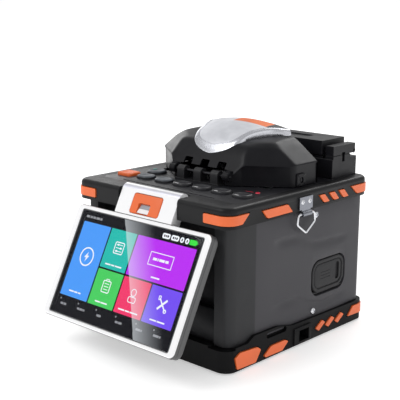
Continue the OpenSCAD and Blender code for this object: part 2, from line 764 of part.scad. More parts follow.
module screen_back() swing() color("#6b6d6f") difference() {
  union() {
    face(-head_n + 3, head_n - 3) translate([0, -mid_s]) rrect(screen_w - 0.6, screen_h - 0.6, 3.7);
    face(-head_n, -head_n + 3) translate([0, -mid_s]) rrect(screen_w - 8, screen_h - 8, 4);
  }
  for (i = [-4:4])
    face(-head_n - 1, -head_n + 1) translate([i * 7, -mid_s + 12]) square([3, 16], center = true);
  for (x = [-1, 1], y = [-1, 1])
    face(-head_n - 1, -head_n + 1.5) translate([x * (screen_w / 2 - 11), -mid_s + y * 32])
      circle(2);
}

button_w = 28;
button_h = 14.4;
button_s = 9.2;

module hinge_arm() swing() color("#f4f4f4") difference() {
  union() {
    rod_x(-28, 28, 0, 0, 4.6);
    face(-3.6, head_n) translate([0, -head_s / 2]) square([56, head_s], center = true);
  }
  rod_x(-29, 29, 0, 0, pin_r + run_gap);
  block([-29, -head_n - 1, -1.6], [29, -2.2, 5]);
  face(head_n - 3.6, head_n + 1) translate([0, -button_s])
    rrect(button_w + 0.7, button_h + 0.7, 1.6);
}

module arm_trim() swing() color("#b9bac4") difference() {
  rod_x(-28, 28, 0, 0, head_n);
  rod_x(-29, 29, 0, 0, 4.6);
  block([-29, -head_n - 1, -9], [29, -3.2, 9]);
  block([-29, -9, -9], [29, head_n + 1, -1.6]);
}

module release_button() swing() color("#f07332") difference() {
  face(head_n - 2.4, head_n + 0.4) translate([0, -button_s]) rrect(button_w, button_h, 1.4);
  face(head_n - 1, head_n + 1) translate([0, -button_s - 2.8]) rrect(11.6, 7, 1.2);
}

bumper_base();
rubber_feet();
orange_inserts();
lower_housing();
side_shell_left();
side_shell_right();
rear_panel();
guard_ring();
deck_plate();
strap_plates();
shell_screws();
strap_ring_left();
strap_ring_right();
tripod_insert();
dc_inlet();
side_ports();
port_cover();
battery_pack();
main_board();
splice_bed();
vgroove_block();
guide_rods();
electrodes();
electrode_caps();
objectives();
stage_left();
stage_right();
sheath_clamp_left();
sheath_clamp_right();
fibre_arm_left();
fibre_arm_right();
hood_bracket();
hood_pin();
hood_shell();
hood_plate();
hood_window();
heater_base();
heater_trough();
heater_pin();
heater_lid();
heater_clamp_left();
heater_clamp_right();
status_lamp();
key_power();
key_1();
key_2();
key_3();
key_4();
key_5();
key_6();
key_round();
screen_pin();
screen_bezel();
touch_glass();
display_panel();
screen_back();
hinge_arm();
arm_trim();
release_button();
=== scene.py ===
"""Looks of the fusion splicer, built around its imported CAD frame."""

import json
import math

import bmesh
import bpy
from mathutils import Matrix, Vector


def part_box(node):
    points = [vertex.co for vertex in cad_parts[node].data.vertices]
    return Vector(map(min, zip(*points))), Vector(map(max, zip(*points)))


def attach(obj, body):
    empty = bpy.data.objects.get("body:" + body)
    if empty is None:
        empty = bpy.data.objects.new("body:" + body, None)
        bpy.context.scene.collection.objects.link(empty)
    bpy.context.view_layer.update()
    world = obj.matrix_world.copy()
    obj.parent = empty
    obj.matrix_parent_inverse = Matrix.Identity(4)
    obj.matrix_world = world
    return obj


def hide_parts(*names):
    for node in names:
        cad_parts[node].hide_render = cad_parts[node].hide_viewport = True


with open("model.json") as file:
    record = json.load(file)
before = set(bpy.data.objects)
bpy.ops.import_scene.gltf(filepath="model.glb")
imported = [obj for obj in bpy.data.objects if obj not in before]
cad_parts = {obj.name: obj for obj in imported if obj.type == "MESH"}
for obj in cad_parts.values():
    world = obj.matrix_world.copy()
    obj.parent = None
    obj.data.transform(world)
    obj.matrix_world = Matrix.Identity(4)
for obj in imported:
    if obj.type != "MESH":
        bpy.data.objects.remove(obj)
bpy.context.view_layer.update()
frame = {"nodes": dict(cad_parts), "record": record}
record = frame["record"]
nodes = frame["nodes"]
MM = 0.001
BODY_OF = {n: b for b, ns in record["behaviour"]["bodies"].items() for n in ns}
SLOT_OF = {s["node"]: s["material_slot"] for s in record["subparts"]}
JOINT = {j["name"]: j for j in record["behaviour"]["joints"]}


def box_mm(node):
    lo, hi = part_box(node)
    return [v / MM for v in lo], [v / MM for v in hi]


def joint_mm(joint):
    return Vector(JOINT[joint]["pos_m"]) / MM


# The CAD's own numbers, read back from the frame: where the housing is centred and the hinge lies.
RING_LO, RING_HI = box_mm("guard_ring")
BY = (RING_LO[1] + RING_HI[1]) / 2
DECK = RING_HI[2]
HALF_W = (RING_HI[0] - RING_LO[0]) / 2
HALF_D = (RING_HI[1] - RING_LO[1]) / 2
HINGE = joint_mm("screen_tilt")
PRESS = Vector(JOINT["release_press"]["axis"])
NORMAL = -PRESS
DOWN = Vector((0, PRESS[2], -PRESS[1]))


# ---------------------------------------------------------------- materials

def new_mat(name, color, rough=0.5, metallic=0.0, spec=0.5):
    m = bpy.data.materials.new(name)
    m.use_nodes = True
    b = m.node_tree.nodes["Principled BSDF"]
    b.inputs["Base Color"].default_value = (*color, 1)
    b.inputs["Roughness"].default_value = rough
    b.inputs["Metallic"].default_value = metallic
    b.inputs["Specular IOR Level"].default_value = spec
    return m, m.node_tree, b


def add(tree, kind, **props):
    n = tree.nodes.new(kind)
    for k, v in props.items():
        setattr(n, k, v)
    return n


def feed(tree, sock, value):
    """Links a socket's output, or sets a plain number or colour."""
    if isinstance(value, (tuple, list)):
        sock.default_value = (*value[:3], 1)
    elif isinstance(value, (int, float)):
        sock.default_value = value
    else:
        tree.links.new(value, sock)


def coords(tree, scale=(1, 1, 1)):
    tc = add(tree, "ShaderNodeTexCoord")
    mp = add(tree, "ShaderNodeMapping")
    mp.inputs["Scale"].default_value = scale
    tree.links.new(tc.outputs["Object"], mp.inputs["Vector"])
    return mp.outputs["Vector"]


def split_xyz(tree, vec):
    sep = add(tree, "ShaderNodeSeparateXYZ")
    tree.links.new(vec, sep.inputs[0])
    return sep.outputs


def noise(tree, vec, scale, detail=3.0, rough=0.55):
    n = add(tree, "ShaderNodeTexNoise")
    n.inputs["Scale"].default_value = scale
    n.inputs["Detail"].default_value = detail
    n.inputs["Roughness"].default_value = rough
    tree.links.new(vec, n.inputs["Vector"])
    return n.outputs["Fac"]


def ramp(tree, src, a, b, lo=0.0, hi=1.0):
    n = add(tree, "ShaderNodeMapRange")
    for key, value in (("From Min", a), ("From Max", b), ("To Min", lo), ("To Max", hi), ("Value", src)):
        feed(tree, n.inputs[key], value)
    return n.outputs["Result"]


def math_node(tree, op, a, b):
    n = add(tree, "ShaderNodeMath", operation=op)
    feed(tree, n.inputs[0], a)
    feed(tree, n.inputs[1], b)
    return n.outputs[0]


def product(tree, a, b):
    return math_node(tree, "MULTIPLY", a, b)


def mix_color(tree, fac, a, b, blend="MIX"):
    n = add(tree, "ShaderNodeMix", data_type="RGBA", blend_type=blend)
    tree.links.new(fac, n.inputs["Factor"])
    feed(tree, n.inputs[6], a)
    feed(tree, n.inputs[7], b)
    return n.outputs[2]


def edge_mask(tree, radius, lo=0.02, hi=0.22):
    """1 on worn outer and inner edges, from how far a rounded normal leans away."""
    bv = add(tree, "ShaderNodeBevel", samples=4)
    bv.inputs["Radius"].default_value = radius
    geo = add(tree, "ShaderNodeNewGeometry")
    dot = add(tree, "ShaderNodeVectorMath", operation="DOT_PRODUCT")
    tree.links.new(bv.outputs["Normal"], dot.inputs[0])
    tree.links.new(geo.outputs["Normal"], dot.inputs[1])
    return ramp(tree, math_node(tree, "SUBTRACT", 1.0, dot.outputs["Value"]), lo, hi)


def bump(tree, bsdf, height, strength, distance):
    n = add(tree, "ShaderNodeBump")
    n.inputs["Strength"].default_value = strength
    n.inputs["Distance"].default_value = distance
    tree.links.new(height, n.inputs["Height"])
    tree.links.new(n.outputs["Normal"], bsdf.inputs["Normal"])


def scaled(color, k, lift=0.0):
    return tuple(min(1, c * k + lift) for c in color)


def moulded(name, color, rough=0.5, grain=2600, strength=0.25, wear=0.35, worn=None, spec=0.5,
            blotch=0.12, coat=0.0, coat_rough=0.2, rough_var=0.1):
    """Injection moulded plastic or rubber: spark grain, uneven sheen, dusty and rubbed edges."""
    m, t, b = new_mat(name, color, rough, 0.0, spec)
    v = coords(t)
    fine = noise(t, v, grain, 2.0, 0.6)
    mid = noise(t, v, 140, 4.0, 0.6)
    wide = noise(t, v, 22, 3.0, 0.5)
    tone = ramp(t, math_node(t, "ADD", product(t, mid, 0.4), product(t, wide, 0.6)), 0.3, 0.7)
    col = mix_color(t, tone, scaled(color, 1 - blotch), scaled(color, 1 + blotch, 0.002))
    mask = product(t, edge_mask(t, 0.0006), ramp(t, mid, 0.35, 0.6, 0.3, 1.0))
    col = mix_color(t, product(t, mask, wear), col, worn or scaled(color, 1.5, 0.03))
    t.links.new(col, b.inputs["Base Color"])
    sheen = ramp(t, tone, 0, 1, rough - rough_var, rough + rough_var)
    t.links.new(math_node(t, "ADD", sheen, product(t, fine, 0.05)), b.inputs["Roughness"])
    bump(t, b, fine, strength, 0.00006)
    if coat:
        b.inputs["Coat Weight"].default_value = coat
        b.inputs["Coat Roughness"].default_value = coat_rough
    return m


def metal(name, color, rough=0.25, brushed=None, strength=0.15, blotch=0.06):
    """Plated, turned or brushed metal. brushed is the direction the scratches run in."""
    m, t, b = new_mat(name, color, rough, 1.0)
    stretch = {None: (1, 1, 1), "x": (0.04, 1, 1), "y": (1, 0.04, 1)}[brushed]
    lines = noise(t, coords(t, stretch), 2400 if brushed else 900, 3.0, 0.6)
    wide = noise(t, coords(t), 60, 3.0)
    col = mix_color(t, ramp(t, wide, 0.3, 0.7), scaled(color, 1 - blotch), color)
    t.links.new(col, b.inputs["Base Color"])
    sheen = ramp(t, lines, 0.3, 0.7, rough * 0.75, rough * 1.3)
    t.links.new(math_node(t, "ADD", sheen, product(t, wide, 0.06)), b.inputs["Roughness"])
    bump(t, b, lines, strength, 0.00003)
    return m


def lamp_material():
    m, t, b = new_mat("lamp_red", (0.55, 0.02, 0.05), 0.15)
    b.inputs["Emission Color"].default_value = (0.8, 0.03, 0.08, 1)
    b.inputs["Emission Strength"].default_value = 0.25
    b.inputs["Coat Weight"].default_value = 0.6
    t.links.new(ramp(t, noise(t, coords(t), 500), 0.3, 0.7, 0.1, 0.25), b.inputs["Roughness"])
    return m


# Plastics: colour, roughness, grain scale and strength, edge wear and its colour, then the rest.
PLASTICS = {
    "guard_black": ((0.005, 0.005, 0.006), 0.42, 1800, 0.35, 0.35, (0.04, 0.04, 0.045),
                    {"spec": 0.2, "coat": 0.04, "coat_rough": 0.3}),
    "base_black": ((0.0035, 0.0035, 0.004), 0.5, 1800, 0.35, 0.35, (0.03, 0.03, 0.034), {"spec": 0.1}),
    "foot_rubber": ((0.012, 0.012, 0.012), 0.75, 1200, 0.5, 0.3, None, {}),
    "orange": ((0.80, 0.135, 0.022), 0.42, 2200, 0.25, 0.35, (0.95, 0.42, 0.2),
               {"blotch": 0.06, "coat": 0.15, "coat_rough": 0.3}),
    "housing_black": ((0.010, 0.010, 0.012), 0.5, 2200, 0.35, 0.4, None, {"spec": 0.3}),
    "shell_grey": ((0.046, 0.045, 0.051), 0.52, 1500, 0.4, 0.3, (0.11, 0.11, 0.115),
                   {"spec": 0.3, "blotch": 0.07}),
    "deck_black": ((0.011, 0.011, 0.014), 0.36, 2000, 0.3, 0.4, (0.07, 0.07, 0.075),
                   {"spec": 0.35, "coat": 0.08, "coat_rough": 0.25}),
    "cover_rubber": ((0.019, 0.019, 0.021), 0.6, 1500, 0.5, 0.4, None, {"spec": 0.3}),
    "black_plastic": ((0.013, 0.013, 0.015), 0.4, 2400, 0.25, 0.4, None, {"spec": 0.35}),
    "battery": ((0.03, 0.08, 0.17), 0.35, 900, 0.2, 0.2, None, {}),
    "board": ((0.02, 0.12, 0.05), 0.35, 3000, 0.15, 0.2, None, {}),
    "ceramic": ((0.72, 0.71, 0.67), 0.3, 3000, 0.1, 0.15, None, {}),
    "hood_black": ((0.006, 0.006, 0.008), 0.34, 2600, 0.12, 0.35, (0.05, 0.05, 0.06),
                   {"spec": 0.16, "coat": 0.03}),
    "heater_black": ((0.006, 0.006, 0.008), 0.42, 2200, 0.3, 0.45, (0.05, 0.05, 0.055), {"spec": 0.3}),
    "key_grey": ((0.060, 0.070, 0.085), 0.4, 2400, 0.25, 0.4, (0.3, 0.33, 0.37), {}),
    "key_black": ((0.020, 0.020, 0.024), 0.34, 2400, 0.25, 0.4, (0.08, 0.08, 0.1), {"spec": 0.35}),
    "white_gloss": ((0.93, 0.93, 0.94), 0.22, 1500, 0.05, 0.1, (0.85, 0.85, 0.86),
                    {"blotch": 0.015, "coat": 0.5, "coat_rough": 0.08, "rough_var": 0.04}),
    "screen_grey": ((0.085, 0.086, 0.088), 0.45, 2000, 0.35, 0.35, (0.26, 0.27, 0.28), {}),
    "teal_print": ((0.08, 0.42, 0.36), 0.4, 2400, 0.1, 0.1, None, {}),
}
# Metals: colour, roughness, direction of the brushing, strength of its lines, blotches.
METALS = {
    "bright_steel": ((0.72, 0.73, 0.76), 0.16),
    "plate_steel": ((0.24, 0.25, 0.28), 0.24, "y", 0.35),
    "brass": ((0.72, 0.52, 0.22), 0.3),
    "port_steel": ((0.3, 0.31, 0.33), 0.35, "y"),
    "bed_metal": ((0.2, 0.21, 0.22), 0.45, "x", 0.3),
    "rod_steel": ((0.62, 0.63, 0.65), 0.22, "x"),
    "dark_rod": ((0.05, 0.05, 0.055), 0.35, "x"),
    "stage_metal": ((0.58, 0.6, 0.62), 0.38, "x", 0.25),
    "hood_silver": ((0.62, 0.63, 0.67), 0.26, None, 0.12),
    "arm_silver": ((0.78, 0.78, 0.86), 0.36, "x", 0.12),
}
MATS = {name: moulded(name, *look[:-1], **look[-1]) for name, look in PLASTICS.items()}
MATS.update({name: metal(name, *look) for name, look in METALS.items()})
MATS["lamp_red"] = lamp_material()
MATS["label_lens"] = MATS["hood_silver"]


# ---------------------------------------------------------------- mesh helpers

def linked(name, data):
    """A new object in the scene, from camera or light data, or from a bmesh that it uses up."""
    if isinstance(data, bmesh.types.BMesh):
        bm, data = data, bpy.data.meshes.new(name)
        bm.to_mesh(data)
        bm.free()
    ob = bpy.data.objects.new(name, data)
    bpy.context.scene.collection.objects.link(ob)
    return ob


def to_object(name, bm, mats, body, node=None, smooth=35.0, extra=()):
    """Makes the piece from a bmesh in millimetres and ties it to its body and node."""
    bmesh.ops.remove_doubles(bm, verts=bm.verts, dist=0.0005)
    bmesh.ops.recalc_face_normals(bm, faces=bm.faces)
    bmesh.ops.scale(bm, vec=(MM, MM, MM), verts=bm.verts)
    ob = linked(name, bm)
    me = ob.data
    for p in me.polygons:
        p.use_smooth = True
    me.set_sharp_from_angle(angle=math.radians(smooth))
    for m in mats if isinstance(mats, list) else [mats]:
        me.materials.append(MATS[m] if isinstance(m, str) else m)
    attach(ob, body)
    if node:
        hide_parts(node, *extra)
    return ob


def bevel_mod(ob, width, segments=2, angle=32):
    m = ob.modifiers.new("edge", "BEVEL")
    m.width = width * MM
    m.segments = segments
    m.limit_method = "ANGLE"
    m.angle_limit = math.radians(angle)
    m.harden_normals = True
    m.use_clamp_overlap = True


def clone_bm(node):
    """The CAD node's surface in millimetres, with the flat faces joined up again."""
    bm = bmesh.new()
    bm.from_mesh(nodes[node].data)
    bmesh.ops.scale(bm, vec=(1 / MM, 1 / MM, 1 / MM), verts=bm.verts)
    bmesh.ops.remove_doubles(bm, verts=bm.verts, dist=0.002)
    bmesh.ops.dissolve_limit(bm, angle_limit=math.radians(0.6), verts=bm.verts, edges=bm.edges)
    return bm


def dressed(node, width=0.4, segments=2, mat=None):
    """The CAD piece with real rounded edges."""
    slot = SLOT_OF[node]
    ob = to_object(node + "_dressed", clone_bm(node), mat or slot, BODY_OF[node], node)
    bevel_mod(ob, width, segments)


def rounded_rect(w, h, r, n=8, cx=0.0, cy=0.0):
    """Loop of (x, y) points round a rectangle, anticlockwise."""
    pts = []
    r = max(r, 0.01)
    for k, (sx, sy) in enumerate(((1, 1), (-1, 1), (-1, -1), (1, -1))):
        for i in range(n + 1):
            a = math.pi / 2 * (k + i / n)
            pts.append((cx + sx * (w / 2 - r) + r * math.cos(a), cy + sy * (h / 2 - r) + r * math.sin(a)))
    return pts


def circle(n, r, cx=0.0, cy=0.0, phase=0.0):
    turns = [2 * math.pi * k / n + phase for k in range(n)]
    return [(cx + r * math.cos(a), cy + r * math.sin(a)) for a in turns]


def skin(bm, loops, closed=False, mats=None):
    """Joins equal loops of 3-D points one after the other. mats gives a slot per band."""
    rows = [[bm.verts.new(p) for p in lp] for lp in loops]
    n = len(rows[0])
    bands = list(zip(rows, rows[1:] + rows[:1]))
    faces = []
    for k, (a, b) in enumerate(bands if closed else bands[:-1]):
        faces += [(k, (a[i], a[(i + 1) % n], b[(i + 1) % n], b[i])) for i in range(n)]
    if not closed:
        faces += [(0, list(reversed(rows[0]))), (-1, rows[-1])]
    for k, corners in faces:
        f = bm.faces.new(corners)
        if mats:
            f.material_index = mats[k]


def round_steps(depth, steps=4):
    """(inset, rise) pairs of a quarter-round edge that is depth deep."""
    turns = [math.pi / 2 * i / steps for i in range(steps + 1)]
    return [(depth * (1 - math.cos(a)), depth * math.sin(a)) for a in turns]


def work_object(bm):
    """A throwaway object in millimetres, for a boolean."""
    bmesh.ops.recalc_face_normals(bm, faces=bm.faces)
    return linked("work", bm)


def take_away(bm, cut_bm):
    """bm with cut_bm taken away, both in millimetres, as a new bmesh."""
    body, tool = work_object(bm), work_object(cut_bm)
    mod = body.modifiers.new("cut", "BOOLEAN")
    mod.operation = "DIFFERENCE"
    mod.solver = "EXACT"
    mod.object = tool
    bpy.context.view_layer.update()
    shown = body.evaluated_get(bpy.context.evaluated_depsgraph_get())
    out = bmesh.new()
    out.from_mesh(shown.to_mesh())
    shown.to_mesh_clear()
    for ob in (body, tool):
        me = ob.data
        bpy.data.objects.remove(ob)
        bpy.data.meshes.remove(me)
    return out


def carved(bm, shape, *args):
    """bm with one shape taken away, which shape(cut, *args) draws."""
    cut = bmesh.new()
    shape(cut, *args)
    return take_away(bm, cut)


def box_bm(bm, lo, hi):
    """Adds a closed box to bm."""
    vs = [bm.verts.new((x, y, z)) for x in (lo[0], hi[0]) for y in (lo[1], hi[1]) for z in (lo[2], hi[2])]
    for f in ((0, 1, 3, 2), (4, 6, 7, 5), (0, 4, 5, 1), (2, 3, 7, 6), (0, 2, 6, 4), (1, 5, 7, 3)):
        bm.faces.new([vs[i] for i in f])


def place(axis, p, t):
    """The 3-D point at t along the axis, with the 2-D point p across it."""
    return {"x": (t, p[0], p[1]), "y": (p[0], t, p[1])}[axis]


def prism_bm(bm, pts, axis, a, b):
    """Adds a prism: pts are 2-D, swept along axis from a to b."""
    skin(bm, [[place(axis, p, t) for p in pts] for t in (a, b)])


def turned(bm, stations, sides, cx, cy, axis="x"):
    """Adds a round bar from (position, radius) stations along the axis."""
    skin(bm, [[place(axis, p, t) for p in circle(sides, r, cx, cy)] for t, r in stations])


def body_pt(x, y, z):
    """From housing coordinates to the frame's."""
    return (x, y + BY, z)


def face_pt(u, s, n):
    """A point of the screen head: u across, s down from the hinge, n out of the face."""
    return tuple(HINGE + Vector((u, 0, 0)) + DOWN * s + NORMAL * n)


# ---------------------------------------------------------------- camera, floor and light

# Each light's place, the point it is aimed at, its width and its power.
LIGHTS = {
    "key_light": ((-0.5, -0.9, 1.1), (0, 0, 0.06), 0.7, 6),
    "side_light": ((1.1, 0.1, 0.55), (0, 0, 0.06), 0.8, 0.9),
    "left_light": ((-1.2, 0.6, 0.5), (0, 0, 0.12), 0.7, 2.4),
    "back_light": ((-0.2, 1.0, 0.9), (0, 0, 0.1), 0.6, 4.0),
}
FLOOR_HALF = 60.0
FLOOR_GLOW = 0.46
WORLD_GLOW = 0.62
CAMERA_PLACE = (0.4598, -0.5024, 0.2540)
CAMERA_TURN = (77.2, -0.28, 42.9)
CAMERA_LENS = 85.14


def make_camera():
    data = bpy.data.cameras.new("camera")
    cam = linked("camera", data)
    cam.location = CAMERA_PLACE
    cam.rotation_euler = [math.radians(a) for a in CAMERA_TURN]
    data.lens = CAMERA_LENS
    data.sensor_width = 36
    data.clip_start = 0.02
    bpy.context.scene.camera = cam


def area_light(name, position, target, size, power):
    data = bpy.data.lights.new(name, "AREA")
    data.shape = "DISK"
    data.size = size
    data.energy = power
    ob = linked(name, data)
    ob.location = position
    ob.rotation_euler = (Vector(target) - Vector(position)).to_track_quat("-Z", "Y").to_euler()


def make_stage():
    bm = bmesh.new()
    bmesh.ops.create_grid(bm, x_segments=1, y_segments=1, size=FLOOR_HALF)
    floor = linked("floor", bm)
    floor.location = (0, 0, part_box("rubber_feet")[0][2])
    m, t, b = new_mat("floor_white", (0.88, 0.88, 0.88), 0.7)
    t.links.new(ramp(t, noise(t, coords(t), 40), 0.3, 0.7, 0.66, 0.74), b.inputs["Roughness"])
    b.inputs["Emission Color"].default_value = (1, 1, 1, 1)
    b.inputs["Emission Strength"].default_value = FLOOR_GLOW
    floor.data.materials.append(m)
    world = bpy.data.worlds.new("studio")
    bpy.context.scene.world = world
    world.use_nodes = True
    bg = world.node_tree.nodes["Background"]
    bg.inputs["Color"].default_value = (1, 1, 1, 1)
    bg.inputs["Strength"].default_value = WORLD_GLOW
    for name, look in LIGHTS.items():
        area_light(name, *look)
    bpy.context.scene.view_settings.view_transform = "Standard"


make_camera()
make_stage()


# ---------------------------------------------------------------- screen head

def face_extent(node):
    """Across, down and depth ranges of a screen-head node, in millimetres."""
    co = [Vector(v.co) / MM - HINGE for v in nodes[node].data.vertices]
    spans = [[c.dot(a) for c in co] for a in (Vector((1, 0, 0)), DOWN, NORMAL)]
    return [(min(values), max(values)) for values in spans]


(HEAD_U, (HEAD_S0, HEAD_S1), (BEZEL_N0, BEZEL_N1)) = face_extent("screen_bezel")
((GLASS_U0, GLASS_U1), (GLASS_S0, GLASS_S1), (GLASS_N0, GLASS_N1)) = face_extent("touch_glass")
((DISP_U0, DISP_U1), (DISP_S0, DISP_S1), (DISP_N0, DISP_N1)) = face_extent("display_panel")
HEAD_W, HEAD_H = 2 * HEAD_U[1], HEAD_S1 - HEAD_S0
HEAD_MID = (HEAD_S0 + HEAD_S1) / 2
GLASS_W, GLASS_H = GLASS_U1 - GLASS_U0, GLASS_S1 - GLASS_S0
DISP_W, DISP_H = DISP_U1 - DISP_U0, DISP_S1 - DISP_S0
# Heights of the layers on the screen: tiles, the icons on them, and the badges over the border.
TILE_N = DISP_N1 - 0.2
ICON_LO, ICON_N = TILE_N + 0.01, TILE_N + 0.06
TOP_N = GLASS_N0 + 0.13
BADGE = (TOP_N, TOP_N + 0.02)
BADGE_INK = (TOP_N + 0.025, TOP_N + 0.04)
BADGE_ROW = 26.3
# The wedge of light on the screen: a point of its bright edge and how that edge runs, in
# millimetres across and down, and the width it fades over, in metres.
GLARE_START = (-16.1, 22.9)
GLARE_RUN = (41.9, 73.7)
GLARE_WIDTH = 0.026
SCREW_SPOTS = [(u * (HEAD_W / 2 - 11), HEAD_MID + s) for u in (-1, 1) for s in (-32, 32)]


def face_loop(w, h, r, depth, n=10, u=0.0, s=HEAD_MID):
    return [face_pt(a, b, depth) for a, b in rounded_rect(w, h, r, n, u, s)]


def soft_edge(w, h, r, start, edge, steps, n=10, s=HEAD_MID):
    """Loops of a quarter-round edge from depth start. A negative edge runs the other way."""
    turns = round_steps(abs(edge), steps)
    return [face_loop(w - 2 * i, h - 2 * i, r, start + math.copysign(rise, edge), n, 0, s)
            for i, rise in turns]


def build_bezel():
    """White frame with a grey back rim, and the gasket round the glass."""
    edge, groove, corner = 1.6, 0.5, 4.4
    loops = [face_loop(HEAD_W - 1.2, HEAD_H - 1.2, 4, BEZEL_N0),
             face_loop(HEAD_W, HEAD_H, corner, BEZEL_N0 + 0.6)]
    loops += soft_edge(HEAD_W, HEAD_H, corner, BEZEL_N1 - edge, edge, 6)
    w, h = GLASS_W + 2 * groove, GLASS_H + 2 * groove
    loops += [face_loop(w + 1.0, h + 1.0, 1.9, BEZEL_N1), face_loop(w, h, 1.5, BEZEL_N1 - 0.45),
              face_loop(w, h, 1.5, GLASS_N0), face_loop(DISP_W, DISP_H, 0.8, GLASS_N0),
              face_loop(DISP_W, DISP_H, 0.8, BEZEL_N0)]
    grey_bands = 5
    bm = bmesh.new()
    skin(bm, loops, closed=True, mats=[1] * grey_bands + [0] * (len(loops) - grey_bands))
    to_object("bezel", bm, ["white_gloss", "screen_grey"], "screen", "screen_bezel", 25)

    bm = bmesh.new()
    lo, hi = GLASS_N0 + 0.02, BEZEL_N1 - 0.35
    inner = [face_loop(GLASS_W - 0.1, GLASS_H - 0.1, 1.0, n) for n in (hi, lo)]
    skin(bm, [face_loop(w, h, 1.5, lo), face_loop(w, h, 1.5, hi)] + inner, closed=True)
    to_object("glass_gasket", bm, "screen_grey", "screen", smooth=25)


def glare(tree, dark, light):
    """Slanted wedge of light across the screen graphics, fading from its bright edge."""
    vec = add(tree, "ShaderNodeTexCoord").outputs["Object"]
    start = Vector(face_pt(*GLARE_START, 0)) * MM
    along = Vector((GLARE_RUN[0], 0, 0)) + DOWN * GLARE_RUN[1]
    across = along.cross(NORMAL).normalized() * -1
    d = add(tree, "ShaderNodeVectorMath", operation="DOT_PRODUCT")
    d.inputs[1].default_value = across
    tree.links.new(vec, d.inputs[0])
    off = math_node(tree, "SUBTRACT", d.outputs["Value"], start.dot(across))
    fade = math_node(tree, "POWER", ramp(tree, off, 0.0, GLARE_WIDTH, 1.0, 0.0), 1.3)
    mask = product(tree, ramp(tree, off, 0.0, 0.0004), fade)
    return mix_color(tree, product(tree, mask, 0.42), dark, light)


def glow(name, color):
    """Lit screen ink with the wedge of light over it."""
    m, t, b = new_mat(name, scaled(color, 0.12), 0.35, spec=0.0)
    fine = noise(t, coords(t), 1200, 2)
    shade = mix_color(t, ramp(t, fine, 0.3, 0.7), scaled(color, 0.96), color)
    t.links.new(glare(t, shade, (0.9, 0.93, 0.96)), b.inputs["Emission Color"])
    b.inputs["Emission Strength"].default_value = 1.0
    t.links.new(ramp(t, fine, 0.3, 0.7, 0.3, 0.4), b.inputs["Roughness"])
    return m


def flat_prism(bm, pts, n0, n1):
    """Thin plate with a straight-sided outline of (u, s) points."""
    skin(bm, [[face_pt(u, s, n) for u, s in pts] for n in (n0, n1)])


def stroke(bm, a, b, w):
    """Straight line of width w on the screen, as a thin plate."""
    dx, dy = b[0] - a[0], b[1] - a[1]
    k = w / 2 / math.hypot(dx, dy)
    nx, ny = -dy * k, dx * k
    ends = [(a[0] + nx, a[1] + ny), (b[0] + nx, b[1] + ny), (b[0] - nx, b[1] - ny), (a[0] - nx, a[1] - ny)]
    flat_prism(bm, ends, ICON_LO, ICON_N)


def frame_icon(bm, w, h, r, t, u, s):
    """Outlined rounded rectangle, its line t wide."""
    inner = (w - 2 * t, h - 2 * t, max(r - t, 0.05))
    skin(bm, [face_loop(w, h, r, ICON_LO, 6, u, s), face_loop(w, h, r, ICON_N, 6, u, s),
              face_loop(*inner, ICON_N, 6, u, s), face_loop(*inner, ICON_LO, 6, u, s)], closed=True)


def dot(r, u, s):
    """The frame_icon measures of a filled dot."""
    return (2 * r, 2 * r, r, r * 0.98, u, s)


def caption(bm, u, s, widths, h=1.0, gap=0.7):
    """A short row of bars where a label would be."""
    x = u - (sum(widths) + gap * (len(widths) - 1)) / 2
    for w in widths:
        stroke(bm, (x, s), (x + w, s), h)
        x += w + gap


def screen_piece(name, bm, mat, node=None):
    to_object(name, bm, mat, "screen", node)


# Edges of the tiles: top, middle and bottom rows, and the three columns.
ROW_TOP, ROW_SPLIT, ROW_LOW = 30.0, 59.0, 85.1
UPPER, LOWER = (ROW_TOP, ROW_SPLIT - 0.6), (ROW_SPLIT + 0.6, ROW_LOW)
COL_A, COL_B, COL_C = (-DISP_W / 2 + 0.9, -27.1), (-25.9, -0.3), (0.9, DISP_W / 2 - 1.0)
COL_SPLIT = 27.7
BOLT = [(0.6, -3.6), (-2.4, 0.7), (-0.3, 0.7), (-0.9, 3.6), (2.3, -0.9), (0.2, -0.9)]
KNOBS = [dot(0.8, u, s) for u, s in ((-1.4, -2.3), (1.6, 0), (-1.8, 2.3))]
# Each tile's columns, rows and colour, how far its icon sits above the middle, the icon's frames
# (width, height, corner, line, across, down) and strokes (from, to, width), and its caption's bars.
TILES = {
    "tile_blue": (COL_A, (ROW_TOP, ROW_LOW), (0.075, 0.33, 0.93), 3, [(14, 14, 7, 1.0, 0, 0)], [],
                  (5, 3.4, 2.6)),
    "tile_teal": (COL_B, UPPER, (0.02, 0.50, 0.42), 1.5, [(9.4, 8.8, 1.4, 0.7, 0, 0)] + KNOBS,
                  [((-3.2, s), (3.2, s), 0.5) for s in (-2.3, 0, 2.3)], (5.4, 3.2, 6.4)),
    "tile_purple": (COL_C, UPPER, (0.50, 0.03, 0.87), 1.0, [(22, 9.4, 0.4, 0.55, 0, 0)], [], (8,)),
    "tile_green": (COL_B, LOWER, (0.07, 0.62, 0.12), 1.6,
                   [(8.0, 8.8, 1.2, 0.7, 0, 0), (3.6, 1.8, 0.6, 0.5, 0, -4.6)],
                   [((-2.2, s), (2.2, s), 0.5) for s in (-2.0, 0, 2.0)], (5.2, 6.4)),
    "tile_red": ((COL_C[0], COL_SPLIT - 0.5), LOWER, (0.90, 0.045, 0.15), 1.6,
                 [(5.0, 5.4, 2.4, 0.6, 0, -1.8), (7.4, 4.4, 1.6, 0.6, 0, 3.2)], [], (6.0, 4.0, 7.4)),
    "tile_violet": ((COL_SPLIT + 0.5, COL_C[1]), LOWER, (0.18, 0.08, 0.86), 1.6,
                    [(2.8, 2.8, 1.4, 0.7, 3.6, 3.8), (2.2, 3.0, 0.5, 0.6, -3.8, -4.0)],
                    [((-3.6, -3.8), (3.4, 3.6), 1.0), ((3.4, -3.6), (-3.6, 3.6), 1.5)], (6.0, 7.0)),
}
